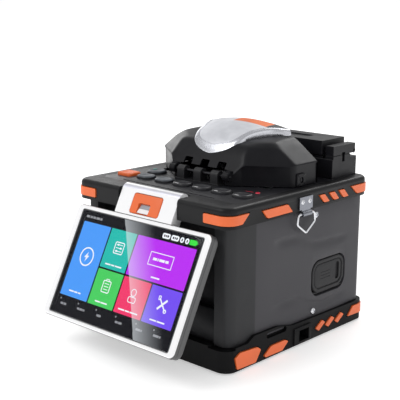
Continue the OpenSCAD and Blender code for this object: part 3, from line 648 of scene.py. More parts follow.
CLOCK_BARS = ((-53.3, 3.4), (-49.6, 2.2), (-46.4, 2.6), (-42.6, 3.4), (-39.2, 2.0))
MENU_BARS = {-49: (3, 2.6), -30: (2.2, 3.2, 1.4), -11: (4.2,), 9: (2.8, 3.2), 29: (4.4, 1), 46: (5, 1.2)}


def build_display():
    """The lit panel: six tiles with their icons, a clock line, a menu row and the badges."""
    bm = bmesh.new()
    panel = rounded_rect(DISP_W - 0.1, DISP_H - 0.1, 0.4, 3, 0, HEAD_MID)
    flat_prism(bm, panel, DISP_N0, TILE_N - 0.05)
    screen_piece("display_base", bm, glow("screen_off", (0.006, 0.006, 0.009)), "display_panel")
    icons = bmesh.new()
    for name, ((u0, u1), (s0, s1), color, lift, frames, strokes, bars) in TILES.items():
        bm = bmesh.new()
        cu, cs = (u0 + u1) / 2, (s0 + s1) / 2
        flat_prism(bm, rounded_rect(u1 - u0, s1 - s0, 0.5, 3, cu, cs), TILE_N - 0.04, TILE_N)
        screen_piece(name, bm, glow(name, color))
        cs -= lift
        for w, h, r, t, u, s in frames:
            frame_icon(icons, w, h, r, t, cu + u, cs + s)
        for a, b, w in strokes:
            stroke(icons, (cu + a[0], cs + a[1]), (cu + b[0], cs + b[1]), w)
        caption(icons, cu, s1 - (4.2 if name == "tile_blue" else 3.0), bars)
        if name == "tile_blue":
            flat_prism(icons, [(cu + a, cs + b) for a, b in BOLT], ICON_LO, ICON_N)
        if name == "tile_purple":
            caption(icons, cu, cs, (3.6, 0.9, 5.0, 3.0), 1.8)
    white = glow("ui_white", (0.9, 0.92, 0.95))
    screen_piece("ui_icons", icons, white)

    bm = bmesh.new()
    for u, w in CLOCK_BARS:
        flat_prism(bm, rounded_rect(w, 1.7, 0.3, 2, u, 26.2), *BADGE)
    for u, bars in MENU_BARS.items():
        caption(bm, u, 91.2, bars, 1.5, 0.5)
        frame_icon(bm, *dot(0.6, u - 4, 87.9))
    screen_piece("ui_marks", bm, glow("ui_grey", (0.32, 0.32, 0.34)))

    bm, ink = bmesh.new(), bmesh.new()
    for u in (26.6, 34.8):
        flat_prism(bm, rounded_rect(7.2, 3.7, 1.3, 5, u, BADGE_ROW), *BADGE)
        for k, w in enumerate((1.2, 0.9, 1.3)):
            flat_prism(ink, rounded_rect(w, 1.5, 0.3, 2, u - 1.6 + 1.6 * k, BADGE_ROW), *BADGE_INK)
    for u in (41.2, 45.8):
        flat_prism(bm, rounded_rect(3.5, 3.9, 1.7, 5, u, BADGE_ROW), *BADGE)
        flat_prism(ink, rounded_rect(1.0, 1.9, 0.45, 3, u, BADGE_ROW), *BADGE_INK)
    screen_piece("ui_badge_ink", ink, glow("ui_ink", (0.01, 0.01, 0.012)))
    screen_piece("ui_badges", bm, white)
    bm = bmesh.new()
    flat_prism(bm, rounded_rect(6.2, 3.6, 0.6, 4, 51.2, BADGE_ROW), *BADGE)
    flat_prism(bm, rounded_rect(1.2, 1.5, 0.3, 3, 54.7, BADGE_ROW), *BADGE)
    screen_piece("ui_battery", bm, glow("ui_green", (0.05, 0.75, 0.06)))


def build_glass():
    """Clear pane with a dark print round the lit area."""
    m, t, b = new_mat("touch_glass", (0.93, 0.95, 0.97), 0.02)
    b.inputs["Transmission Weight"].default_value = 1.0
    b.inputs["IOR"].default_value = 1.18
    t.links.new(ramp(t, noise(t, coords(t), 60, 4), 0.35, 0.75, 0.0, 0.07), b.inputs["Roughness"])
    bm = bmesh.new()
    w, h, edge = GLASS_W - 0.3, GLASS_H - 0.3, 0.35
    skin(bm, [face_loop(w, h, 0.8, GLASS_N0 + 0.2, 4)] + soft_edge(w, h, 0.8, GLASS_N1 - edge, edge, 3, 4))
    to_object("touch_glass_pane", bm, m, "screen", "touch_glass")
    bm = bmesh.new()
    lo, hi = GLASS_N0 + 0.04, GLASS_N0 + 0.12
    outer = [face_loop(w, h, 0.8, n, 4) for n in (lo, hi)]
    inner = [face_loop(DISP_W - 0.6, DISP_H - 0.6, 0.5, n, 4) for n in (hi, lo)]
    skin(bm, outer + inner, closed=True)
    ink = glow("border_ink", (0.006, 0.006, 0.009))
    to_object("glass_border_print", bm, ink, "screen")


def build_screen_back():
    """Grey shell with a row of slots, four screws and a blank plate."""
    back = face_extent("screen_back")[2][0]
    w, h, edge = HEAD_W - 0.6, HEAD_H - 0.6, 3.6
    loops = [face_loop(w - 1.0, h - 1.0, 3.6, BEZEL_N0), face_loop(w, h, 4, BEZEL_N0 - 0.4),
             face_loop(w, h, 4, -1.4)]
    loops += soft_edge(w, h, 5.2, back + edge, -edge, 7)
    bm, cut, screws = bmesh.new(), bmesh.new(), bmesh.new()
    skin(bm, loops)
    for i in range(-5, 6):
        flat_prism(cut, rounded_rect(3.0, 18, 1.5, 5, i * 6.4, HEAD_MID + 12), back - 1, back + 1.0)
    for u, s in SCREW_SPOTS:
        flat_prism(cut, rounded_rect(4.6, 4.6, 2.3, 6, u, s), back - 1, back + 1.5)
    plate_s = HEAD_MID - 18
    flat_prism(cut, rounded_rect(58, 17, 3, 6, 0, plate_s), back - 1, back + 0.7)
    shell = take_away(bm, cut)
    to_object("screen_back_shell", shell, "screen_grey", "screen", "screen_back", 30)
    for u, s in SCREW_SPOTS:
        skin(screws, [face_loop(3.8 - 2 * inset, 3.8 - 2 * inset, 1.9 - inset, back + 1.3 - rise, 6, u, s)
                      for inset, rise in round_steps(0.7, 4)])
    to_object("screen_back_screws", screws, "port_steel", "screen")
    bm = bmesh.new()
    flat_prism(bm, rounded_rect(56.6, 15.6, 2.4, 6, 0, plate_s), back + 0.3, back + 0.8)
    to_object("rating_plate_blank", bm, "port_steel", "screen")


def build_button():
    """Orange cap with a notch, the latch tongue behind the notch, and a dark piece painted as the notch's
    shadow.
    """
    ((u0, u1), (s0, s1), (n0, n1)) = face_extent("release_button")
    w, h, cs = u1 - u0, s1 - s0, (s0 + s1) / 2
    edge, corner = 0.7, 1.8
    loops = [face_loop(w, h, corner, n0, 8, 0, cs)]
    for inset, rise in round_steps(edge, 4):
        size = (w - 2 * inset, h - 2 * inset, corner - inset / 2)
        loops.append(face_loop(*size, n1 - edge + rise, 8, 0, cs))
    bm = bmesh.new()
    skin(bm, loops)
    notch_w, notch_h, notch_u = 11.6, 7.4, -1.2
    notch_s = s1 - notch_h / 2 - 0.5
    notch = rounded_rect(notch_w, notch_h, 1.3, 6, notch_u, notch_s)
    bm = carved(bm, flat_prism, notch, n0 + 0.6, n1 + 1)
    ob = to_object("button_cap", bm, "orange", "release", "release_button", 30)
    bevel_mod(ob, 0.25, 2, 50)
    # painted shadow: a dark steel piece stands for the shadow at the top of the notch, and the white
    # tongue comes up to the face below it
    half, top, low = notch_w / 2 - 0.5, notch_s - notch_h / 2 + 0.3, notch_s + notch_h / 2 - 0.3
    mid, foot = (top + low) / 2, n0 + 0.2
    shade = [(top, foot), (top, n0 + 0.8), (mid, n0 + 1.3), (mid, foot)]
    tongue = [(mid, foot), (mid, n0 + 1.4), (low, n1 - 0.15), (low, foot)]
    for name, side, mat, slot, soft in (("latch_painted_shadow", shade, "port_steel", "orange", 0.15),
                                        ("latch_tongue", tongue, "white_gloss", "white_gloss", 0.25)):
        bm = bmesh.new()
        skin(bm, [[face_pt(u, s, n) for s, n in side] for u in (notch_u - half, notch_u + half)])
        bevel_mod(to_object(name, bm, mat, "release"), soft)


build_bezel()
build_display()
build_glass()
build_screen_back()
build_button()
dressed("screen_pin", 0.3)


# ---------------------------------------------------------------- curves shared by hood and housing

def fillet_path(corners, radii, step=1.2):
    """Open path through corners, each inner one rounded by its radius, sampled every step."""
    pts = [Vector(c) for c in corners]
    out = [pts[0]]
    for before, p, after, radius in zip(pts, pts[1:], pts[2:], radii):
        a, b = (before - p).normalized(), (after - p).normalized()
        half = a.angle(b) / 2
        cut = radius / math.tan(half)
        start, end = p + a * cut, p + b * cut
        centre = p + (a + b).normalized() * (radius / math.sin(half))
        sweep = (start - centre).angle_signed(end - centre)
        n = max(3, int(abs(sweep) * radius / step) + 2)
        out += [centre + Matrix.Rotation(-sweep * k / n, 2) @ (start - centre) for k in range(n + 1)]
    out.append(pts[-1])
    dense = [out[0]]
    for a, b in zip(out, out[1:]):
        n = max(1, int((b - a).length / step))
        dense.extend(a.lerp(b, k / n) for k in range(1, n + 1))
    return [p for i, p in enumerate(dense) if i == 0 or (p - dense[i - 1]).length > 1e-4]


def table_value(points, x, soft=0.0):
    """Straight lines between points, averaged over x plus or minus soft."""
    if soft:
        steps = [(k - 3) / 3 for k in range(7)]
        return sum(table_value(points, x + soft * s) for s in steps) / len(steps)
    pairs = list(zip(points, points[1:]))
    if x <= points[0][0]:
        (x0, y0), (x1, y1) = pairs[0]
    elif x >= points[-1][0]:
        (x0, y0), (x1, y1) = pairs[-1]
    else:
        (x0, y0), (x1, y1) = next((a, b) for a, b in pairs if a[0] <= x <= b[0])
    return y0 + (y1 - y0) * (x - x0) / (x1 - x0)


def smooth_min(values, k):
    low = min(values)
    return low - k * math.log(sum(math.exp((low - v) / k) for v in values))


def smoothstep(a, b, x):
    t = min(1.0, max(0.0, (x - a) / (b - a)))
    return t * t * (3 - 2 * t)


def spread(a, b, step):
    n = max(1, round((b - a) / step))
    return [a + (b - a) * i / n for i in range(n + 1)]


# ---------------------------------------------------------------- hood

HOOD_LO, HOOD_HI = box_mm("hood_shell")
HOOD_END = HOOD_HI[0] - 0.6
HOOD_BACK = HOOD_HI[1] - BY
RIM = HOOD_LO[2]
TOP = box_mm("hood_plate")[1][2]
AXIS_Y, AXIS_Z = joint_mm("hood_open")[1:]
FRONT = AXIS_Y - BY + 0.5
FRONT_X = 27.0
SIDE_Y = 0.6
PILLARS = (-16.4, 0.0, 16.4)
# Heights of the hood's slopes: over y, over the distance sideways, and inwards from the shoulder.
FRONT_PROFILE = [(FRONT, DECK + 5.7), (-17, TOP - 19.2), (-12, TOP - 13.5), (-3, TOP - 11.2),
                 (8, TOP - 10), (HOOD_BACK, TOP - 8)]
END_PROFILE = [(0, TOP - 6.5), (34, TOP - 8), (44, TOP - 10), (50, TOP - 14), (HOOD_END, TOP - 25)]
SHOULDER_PROFILE = [(0, TOP - 25.5), (8, TOP - 14.8), (14, TOP - 10.6), (20, TOP - 8), (40, TOP - 6)]
# The tongue's height over y, and half of its outline.
TONGUE_PROFILE = [(-20, TOP - 23), (-18, TOP - 20), (-16, TOP - 16.6), (-13, TOP - 12.3),
                  (-9, TOP - 8.5), (-4, TOP - 5.5), (3, TOP - 2.9), (12, TOP - 1), (20, TOP - 0.2),
                  (HOOD_BACK, TOP), (40, TOP)]
TONGUE = [(40.6, HOOD_BACK), (37, 22), (32, 16), (28, 8), (25, 0), (23, -7), (20, -12), (15, -15.3),
          (8, -17.3)]
TONGUE_TIP = -18.2


def hood_z(x, y):
    """Height of the hood's outer skin: front, end and shoulder slopes run softly into each other."""
    along = Vector((HOOD_END - FRONT_X, SIDE_Y - FRONT)).normalized()
    inward = (abs(x) - FRONT_X) * -along[1] + (y - FRONT) * along[0]
    return smooth_min([table_value(FRONT_PROFILE, y, 1.5), table_value(END_PROFILE, abs(x), 1.5),
                       table_value(SHOULDER_PROFILE, inward, 1.0)], 0.7)


def under_skin(drop):
    return lambda x, y: hood_z(x, y) - drop


def level(z):
    return lambda x, y: z


def hood_outline(i):
    """Right rear corner, round the front, to the left rear corner, drawn in by i."""
    half = [(HOOD_END - i, HOOD_BACK - i), (HOOD_END - i, SIDE_Y + 0.45 * i),
            (FRONT_X - 0.4 * i, FRONT + i)]
    return fillet_path(half + [(-x, y) for x, y in reversed(half)], [6, 7, 7, 6])


def path_normals(path, centre):
    """Unit normals of an open path that point towards centre's side."""
    out = []
    for i, p in enumerate(path):
        t = path[min(i + 1, len(path) - 1)] - path[max(i - 1, 0)]
        n = Vector((-t[1], t[0])).normalized()
        out.append(n if n.dot(Vector(centre) - p) > 0 else -n)
    return out


def crown_rows(bm, path, back_y, spine_half, rows, surface, spokes):
    """Rows of points by (inset, height) up the edge, then in to a spine on the back edge."""
    inward = path_normals(path, (0, back_y * 0.5))
    last = len(path) - 1

    def drawn_in(inset):
        ends = {i: Vector((path[i][0] - math.copysign(inset, path[i][0]), back_y)) for i in (0, last)}
        return [ends.get(i, p + n * inset) for i, (p, n) in enumerate(zip(path, inward))]

    flat = [(drawn_in(inset), height) for inset, height in rows]
    edge = flat[-1][0]
    spine = [Vector((spine_half * (1 - 2 * i / last), back_y)) for i in range(last + 1)]
    for k in range(1, spokes + 1):
        flat.append(([q.lerp(goal, k / spokes) for q, goal in zip(edge, spine)], surface))
    grid = [[bm.verts.new(body_pt(x, y, height(x, y))) for x, y in row] for row, height in flat]
    for a, b in zip(grid, grid[1:]):
        for i in range(last):
            bm.faces.new((a[i], a[i + 1], b[i + 1], b[i]))
    return grid


def back_line(grid):
    return [r[0] for r in grid] + grid[-1][1:-1] + [r[-1] for r in reversed(grid)]


def crown_solid(path, back_y, spine_half, rows, surface, base_z, spokes=48):
    """Closed solid: a crown with a flat back and a flat foot at base_z."""
    bm = bmesh.new()
    grid = crown_rows(bm, path, back_y, spine_half, rows, surface, spokes)
    back = back_line(grid)
    foot = [back[0]] + [bm.verts.new((v.co.x, v.co.y, base_z)) for v in back[1:-1]] + [back[-1]]
    for i in range(len(back) - 1):
        quad = [back[i], back[i + 1], foot[i + 1], foot[i]]
        face = [v for j, v in enumerate(quad) if v not in quad[:j]]
        if len(face) > 2:
            bm.faces.new(face)
    bm.faces.new(foot + list(reversed(grid[0][1:-1])))
    return bm


def sheet_solid(path, back_y, spine_half, rows, surface, floor, spokes=36):
    """Closed sheet: a crown on top and another one underneath, from the same first row."""
    bm = bmesh.new()
    low = back_line(crown_rows(bm, path, back_y, spine_half, [(rows[0][0], floor)], floor, spokes))
    top = back_line(crown_rows(bm, path, back_y, spine_half, rows, surface, spokes))
    bm.faces.new(top + list(reversed(low[1:-1])))
    return bm


def hood_piece(name, bm, smooth=30, mat="hood_black", node=None):
    to_object(name, bm, mat, "hood", node, smooth)


def build_hood():
    """Hollow cover, open over the hinge and the fibre, with hinge knuckles and magnet bosses."""
    lower, wall = 0.7, 3.0
    rows = [(lower, level(RIM)), (lower, under_skin(1.5)), (lower - 0.1, under_skin(1.15)),
            (0.1, under_skin(0.75)), (0.0, under_skin(0.35)), (0.25, under_skin(0.05))]
    bm = crown_solid(hood_outline(0), HOOD_BACK, 38, rows, hood_z, RIM)
    rows = [(0, level(RIM - 1)), (0, under_skin(wall + 0.6)), (0.3, under_skin(wall + 0.2))]
    inside = (hood_outline(wall), HOOD_BACK - wall, 36)
    bm = take_away(bm, crown_solid(*inside, rows, under_skin(wall), RIM - 1, 24))
    gap, reach = 23.1, 9
    bm = carved(bm, box_bm, (-gap, AXIS_Y - reach, RIM - 2), (gap, AXIS_Y + reach, AXIS_Z + 4.2))
    cut = bmesh.new()
    for x in PILLARS:
        room = rounded_rect(8, 12, 1, 3, x, AXIS_Z + 2.7)
        prism_bm(cut, room, "y", AXIS_Y - reach, AXIS_Y + reach)
    bm = take_away(bm, cut)
    lo, hi = box_mm("guide_rods")
    y, end = (lo[1] + hi[1]) / 2, HOOD_END + 2
    bm = carved(bm, box_bm, (-end, y - 2.5, RIM - 1), (end, y + 2.5, RIM + 3.2))
    hood_piece("hood_cover", bm, 28, node="hood_shell")

    bm = bmesh.new()
    for side in (-1, 1):
        knuckle = ((23.4, 2.2), (23.4, 2.9), (23.9, 3.4), (28.5, 3.4), (29.0, 2.9), (29.0, 2.2))
        turned(bm, [(side * x, r) for x, r in knuckle], 32, AXIS_Y, AXIS_Z)
        a, b = sorted((side * 23.8, side * 28.6))
        box_bm(bm, (a, AXIS_Y, AXIS_Z - 1.5), (b, AXIS_Y + 4.5, AXIS_Z + 4))
    hood_piece("hood_knuckles", bm)

    bm = bmesh.new()
    middle = (BY + 8, RIM + 4.5)
    face = HOOD_END + 0.6
    for side in (-1, 1):
        loops = []
        for x, inset in ((HOOD_END - 0.9, 0), (HOOD_END + 0.3, 0), (face, 0.4)):
            pad = rounded_rect(10 - 2 * inset, 9 - 2 * inset, 1.0, 4, *middle)
            loops.append([place("x", p, side * x) for p in pad])
        n = len(pad)
        for x, r in ((face, 2.3), (HOOD_END - 0.3, 2.1), (HOOD_END - 0.3, 1.2), (HOOD_END + 0.2, 1.0)):
            ring = circle(n, r, *middle, math.pi / n + 0.05)
            loops.append([place("x", p, side * x) for p in ring])
        skin(bm, loops)
    hood_piece("hood_magnet_bosses", bm)


def tongue_path(step=6):
    """Smooth curve through the tongue's outline, right rear corner first."""
    half = [Vector(p) for p in TONGUE] + [Vector((0, TONGUE_TIP))]
    pts = half + [Vector((-p[0], p[1])) for p in reversed(half[:-1])]
    out = []
    for p0, p1, p2, p3 in zip(pts[:1] + pts, pts, pts[1:], pts[2:] + pts[-1:]):
        bend = 2 * p0 - 5 * p1 + 4 * p2 - p3
        twist = 3 * p1 - p0 - 3 * p2 + p3
        for t in (k / step for k in range(step)):
            out.append(0.5 * (2 * p1 + (p2 - p0) * t + bend * t * t + twist * t ** 3))
    out.append(pts[-1])
    return out


def tongue_z(x, y):
    return table_value(TONGUE_PROFILE, y, 1.6) - x * x / 300


def tongue_skin(drop):
    """The tongue's height less drop, but never below the hood."""
    return lambda x, y: max(hood_z(x, y) + 0.05, tongue_z(x, y) - drop)


# The orange field on the label: its ends across and its front and back edges behind the middle.
FIELD_X = (-6.0, 25.5)
FIELD_Y = (15.0, 26.5)


def label_material():
    """Grey frosted label with an orange field, and dark print behind and beside it."""
    m, t, b = new_mat("label", (0.5, 0.51, 0.54), 0.3, 0.25)
    v = coords(t)
    x, y = split_xyz(t, v)[:2]
    cloud = noise(t, v, 70, 3)
    patch = ramp(t, cloud, 0.35, 0.65)
    grey = mix_color(t, patch, (0.60, 0.61, 0.65), (0.72, 0.73, 0.77))
    orange = mix_color(t, patch, (0.72, 0.14, 0.03), (0.86, 0.2, 0.05))
    front, end = [(BY + edge) * MM for edge in FIELD_Y]
    left_edge, right_edge = [edge * MM for edge in FIELD_X]
    back = ramp(t, y, front, front + 0.0010)
    before = ramp(t, y, end, end + 0.0006, 1, 0)
    left = ramp(t, x, left_edge, left_edge + 0.0008)
    right = ramp(t, x, right_edge, right_edge + 0.0007, 1, 0)
    field = product(t, product(t, back, before), product(t, left, right))
    past = product(t, back, math_node(t, "SUBTRACT", 1.0, right))
    dark = math_node(t, "MAXIMUM", math_node(t, "SUBTRACT", 1.0, before), past)
    col = mix_color(t, dark, mix_color(t, field, grey, orange), (0.02, 0.02, 0.022))
    t.links.new(col, b.inputs["Base Color"])
    t.links.new(ramp(t, cloud, 0.3, 0.7, 0.42, 0.52), b.inputs["Roughness"])
    bump(t, b, noise(t, v, 2200, 2), 0.15, 0.00003)
    return m


def build_plate():
    """The silver tongue, a sheet with a raised rim, and the label set into it."""
    lip, rim = 0.55, tongue_skin
    rows = [(1.2, under_skin(1.6)), (0.5, under_skin(0.9)), (0.0, under_skin(-0.1)), (0.1, rim(1.5)),
            (0.35, rim(0.9)), (0.8, rim(0.4)), (1.4, rim(0.12)), (2.1, rim(0.0)), (3.3, rim(0.03)),
            (3.6, rim(lip))]
    path = tongue_path()
    bm = sheet_solid(path, HOOD_BACK, 18, rows, rim(lip), under_skin(1.6))
    hood_piece("tongue_plate", bm, 30, "hood_silver", "hood_plate")
    rows = [(3.75, rim(lip + 0.1)), (3.75, rim(0.22)), (3.95, rim(0.12))]
    bm = sheet_solid(path, HOOD_BACK - 0.3, 18, rows, rim(0.12), rim(lip + 0.1))
    hood_piece("tongue_label", bm, 30, label_material(), "hood_window")


def build_hood_pin():
    """Hinge rod with fine grip rings along it."""
    lo, hi = box_mm("hood_pin")
    r, pitch = (hi[2] - lo[2]) / 2, 1.2
    stations = [(lo[0], r * 0.6)]
    for k in range(int((hi[0] - lo[0]) / pitch)):
        x = lo[0] + 0.3 + k * pitch
        ring = ((0, 1), (0.62, 1), (0.7, 0.86), (0.92, 0.86))
        stations += [(x + pitch * along, r * wide) for along, wide in ring]
    stations.append((hi[0], r * 0.6))
    bm = bmesh.new()
    turned(bm, stations, 20, AXIS_Y, AXIS_Z)
    to_object("hood_hinge_rod", bm, "dark_rod", "chassis", "hood_pin", 30)


build_hood()
build_plate()
build_hood_pin()


# ---------------------------------------------------------------- housing, guards and fittings

# Where the shell starts to taper to the front, and the lines of its two creases, as (y, z).
TAPER_Y = -50
UPPER_CREASE = [(-34, 83), (-25, 82.5), (-4, 81.8), (11, 75.2), (20, 73.3), (52, 71.7), (62, 71.4)]
LOWER_CREASE = [(-36, 36.6), (-28, 36.4), (-3, 36.1), (12.6, 29.2), (28, 25.4), (51, 27), (60, 27.4)]


def relief(bm, x, ys, zs, depth):
    """Cuts the flat outer face at x into a grid and sinks it by depth(y, z)."""
    for normal, values in ((Vector((0, 1, 0)), ys), (Vector((0, 0, 1)), zs)):
        for v in values:
            faces = [f for f in bm.faces if abs(f.normal.x) > 0.99 and abs(f.verts[0].co.x - x) < 0.01]
            edges = list({e for f in faces for e in f.edges})
            verts = list({p for f in faces for p in f.verts})
            bmesh.ops.bisect_plane(bm, geom=verts + edges + faces, dist=0.001, plane_co=normal * v,
                                   plane_no=normal)
            bm.normal_update()
    for p in bm.verts:
        if abs(p.co.x - x) < 0.01:
            p.co.x -= math.copysign(depth(p.co.y - BY, p.co.z), x)


def crease_depth(y, z):
    """Two soft styling creases: steep above their line, fading out below it."""
    ends = smoothstep(-33, -20, y) * (1 - smoothstep(46, 60, y))
    total = 0
    for line in (UPPER_CREASE, LOWER_CREASE):
        d = z - table_value(line, y, 4)
        total += math.exp(-(d / (0.9 if d > 0 else 4.5)) ** 2)
    return 1.3 * ends * min(total, 1.0)


def paint_front_shade(m):
    """Painted shade: the colour of the tapered front part of the shell is darkened where it turns away
    from the lights.
    """
    t = m.node_tree
    sock = t.nodes["Principled BSDF"].inputs["Base Color"]
    base = sock.links[0].from_socket
    y = split_xyz(t, coords(t))["Y"]
    front = ramp(t, y, (BY + TAPER_Y - 0.5) * MM, (BY + TAPER_Y + 0.5) * MM, 1, 0)
    # painted shade: the base colour is multiplied down in front of TAPER_Y
    t.links.new(mix_color(t, front, base, (0.5, 0.52, 0.5), "MULTIPLY"), sock)


def build_side_shell(node):
    """Side skin with creases, drawn in towards the front."""
    bm = clone_bm(node)
    lo, hi = box_mm(node)
    x = hi[0] if hi[0] > 0 else lo[0]
    ys = [BY + TAPER_Y] + spread(BY - 36, BY + 60, 2.4)
    relief(bm, x, ys, spread(66, 88, 1.3) + spread(20.5, 41, 1.3), crease_depth)
    for p in bm.verts:
        if abs(p.co.x) > abs(x) - 5:
            p.co.x -= math.copysign(1.6 * max(0.0, min(1.0, (BY + TAPER_Y - p.co.y) / 20)), x)
    ob = to_object(node + "_panel", bm, "shell_grey", "chassis", node, 30)
    bevel_mod(ob, 0.5, 3, 45)


def build_port_cover():
    """Oval flap with a raised rim, a finger notch, three fine slots and its hinge barrel."""
    lo, hi = box_mm("port_cover")
    cy, cz = (lo[1] + hi[1]) / 2, (lo[2] + hi[2]) / 2 + 0.5
    w, h = hi[1] - lo[1], hi[2] - lo[2]
    face = box_mm("side_shell_right")[1][0]
    section = ((1.6, -2.2), (1.0, -2.0), (1.0, -0.55), (1.15, -0.2), (1.6, 0.0), (2.9, 0.0), (3.2, -0.15),
               (3.5, -0.9), (4.1, -0.9), (4.3, -0.5), (4.8, -0.35), (6.5, -0.3))
    loops = []
    for inset, x in section:
        oval = rounded_rect(w - 2 * inset, h - 2 * inset, max(0.8, 9.5 - inset), 8, cy, cz)
        loops.append([place("x", p, face + x) for p in oval])
    bm = bmesh.new()
    skin(bm, loops)
    notch = rounded_rect(4.6, 13.5, 2.1, 5, cy + w / 2 - 9.2, cz)
    bm = carved(bm, prism_bm, notch, "x", face - 1.7, face + 2)
    slots = bmesh.new()
    for k in (-1, 0, 1):
        prism_bm(slots, rounded_rect(12, 0.7, 0.3, 3, cy - 3.5, cz + 2.4 * k), "x", face - 0.6, face + 1)
    bm = take_away(bm, slots)
    to_object("port_flap", bm, "cover_rubber", "port_door", "port_cover", 32)
    axis = joint_mm("port_cover_open")
    bm = bmesh.new()
    stations = ((lo[1] + 0.6, 0.6), (lo[1] + 0.9, 0.9), (hi[1] - 0.9, 0.9), (hi[1] - 0.6, 0.6))
    turned(bm, stations, 16, axis[0], axis[2], "y")
    to_object("port_flap_hinge", bm, "cover_rubber", "port_door", smooth=32)


def pad_recess(bm, z0, z1):
    """Widens the pockets of one guard, so each orange pad sits in a dark recess."""
    cut = clone_bm("orange_inserts")
    off = [v for v in cut.verts if not z0 < v.co.z < z1]
    bmesh.ops.delete(cut, geom=off, context="VERTS")
    cut.normal_update()
    moves = [(v, v.normal * 0.55 * v.calc_shell_factor()) for v in cut.verts]
    for v, move in moves:
        v.co += move
    return take_away(bm, cut)


def build_base():
    """Lower guard with a long slot in each side of its lip."""
    bm = pad_recess(clone_bm("bumper_base"), 0, 50)
    cut = bmesh.new()
    for side in (-1, 1):
        a, b = sorted((side * (HALF_W - 2.6), side * (HALF_W + 2)))
        prism_bm(cut, rounded_rect(22.5, 4.2, 2.05, 6, BY - 28.6, 17.6), "x", a, b)
    bm = take_away(bm, cut)
    ob = to_object("base_guard", bm, "base_black", "chassis", "bumper_base", 32)
    bevel_mod(ob, 0.55, 3, 35)


def build_ring():
    """Upper guard with a wide soft edge round its top."""
    bm = clone_bm("guard_ring")
    bm.normal_update()
    rim = []
    for e in bm.edges:
        if len(e.link_faces) != 2 or any(abs(v.co.z - DECK) > 0.02 for v in e.verts):
            continue
        mid = (e.verts[0].co + e.verts[1].co) / 2 - Vector((0, BY, 0))
        out = [f.normal for f in e.link_faces if abs(f.normal.z) < 0.3]
        if out and out[0].dot(mid) > 0 and max(abs(mid.x) / HALF_W, abs(mid.y) / HALF_D) > 0.9:
            rim.append(e)
    bmesh.ops.bevel(bm, geom=rim, offset=3.0, offset_type="OFFSET", segments=5, profile=0.5,
                    affect="EDGES", clamp_overlap=True)
    bm = pad_recess(bm, 50, 150)
    ob = to_object("upper_guard", bm, "guard_black", "chassis", "guard_ring", 32)
    bevel_mod(ob, 0.3, 2, 50)


def build_inserts():
    """Orange pads with rounded corners and pillowed faces."""
    bm = clone_bm("orange_inserts")
    bm.normal_update()
    corners = []
    for e in bm.edges:
        around = [f.calc_length() for v in e.verts for f in v.link_edges]
        flat = abs(e.verts[0].co.z - e.verts[1].co.z) < 0.05
        if flat and 2.2 < e.calc_length() < 2.7 and min(around) > 1.5 and e.calc_face_angle(0) > 0.4:
            corners.append(e)
    bmesh.ops.bevel(bm, geom=corners, offset=0.9, offset_type="OFFSET", segments=4, profile=0.5,
                    affect="EDGES", clamp_overlap=False)
    ob = to_object("orange_pads", bm, "orange", "chassis", "orange_inserts", 32)
    bevel_mod(ob, 0.45, 3, 40)


def key_outline(node, inset):
    """The cap's outline inside its 1 mm flange, drawn in by inset."""
    lo, hi = box_mm(node)
    w, h = hi[0] - lo[0] - 2, hi[1] - lo[1] - 2
    corner = {"key_power": 2.0, "key_round": w / 2}.get(node, 5.0)
    r = min(corner - inset, w / 2 - inset - 0.01) if corner > inset else 0.05
    return rounded_rect(w - 2 * inset, h - 2 * inset, r, 8, (lo[0] + hi[0]) / 2, (lo[1] + hi[1]) / 2)


def build_key(node, top_mat, skirt_mat):
    """A moulded cap: flange, straight skirt, rounded shoulder and a shallow finger dish."""
    lo, hi = box_mm(node)
    flange = lo[2] + 1.3
    skirt = [(-1, lo[2]), (-1, flange), (0, flange), (0, hi[2] - 1.3), (0.08, hi[2] - 0.9)]
    dish = ((0.3, 0.5), (0.7, 0.2), (1.3, 0.03), (1.9, 0), (2.6, 0.1), (3.8, 0.32), (5.0, 0.42))
    rows = skirt + [(inset, hi[2] - drop) for inset, drop in dish]
    bm = bmesh.new()
    loops = [[(x, y, z) for x, y in key_outline(node, inset)] for inset, z in rows]
    skin(bm, loops, mats=[1] * (len(skirt) - 1) + [0] * len(dish))
    to_object(node + "_moulded", bm, [top_mat, skirt_mat], BODY_OF[node], node, 40)


def print_and_highlight_bar(name, x, y, w, h, z, body, mat):
    """A small bar with rounded ends, just proud of the surface at z, used for print and for painted
    highlights.
    """
    bm = bmesh.new()
    loops = []
    for rise, i in ((-0.15, 0), (0.03, 0), (0.06, 0.05)):
        bar = rounded_rect(w - 2 * i, h - 2 * i, min(w, h) * 0.45, 4, x, y)
        loops.append([(a, b, z + rise) for a, b in bar])
    skin(bm, loops)
    to_object(name, bm, mat, body, smooth=30)


def build_keys():
    """Eight moulded caps, white bars painted as highlights on the front edges of keys 3 to 6, the teal
    print on the round key and the red line on the deck.
    """
    build_key("key_power", "orange", "orange")
    for node in ("key_1", "key_2", "key_round"):
        build_key(node, "key_grey", "key_black")
    sunk = 0.12
    for node in ("key_3", "key_4", "key_5", "key_6"):
        build_key(node, "key_black", "key_black")
        lo, hi = box_mm(node)
        # painted highlight: a white bar where the key's front edge catches the light
        print_and_highlight_bar(node + "_mark", (lo[0] + hi[0]) / 2 - 1, lo[1] + 2.1, 3.4, 0.9, hi[2] - sunk,
                  BODY_OF[node], "white_gloss")
    lo, hi = box_mm("key_round")
    print_and_highlight_bar("key_round_mark", lo[0] + 4.1, (lo[1] + hi[1]) / 2 + 2.2, 2.6, 3.6, hi[2] - sunk,
              BODY_OF["key_round"], "teal_print")
    lo, hi = box_mm("status_lamp")
    print_and_highlight_bar("lamp_line", lo[0] - 5.5, (lo[1] + hi[1]) / 2, 7, 0.5, DECK, "chassis", "lamp_red")


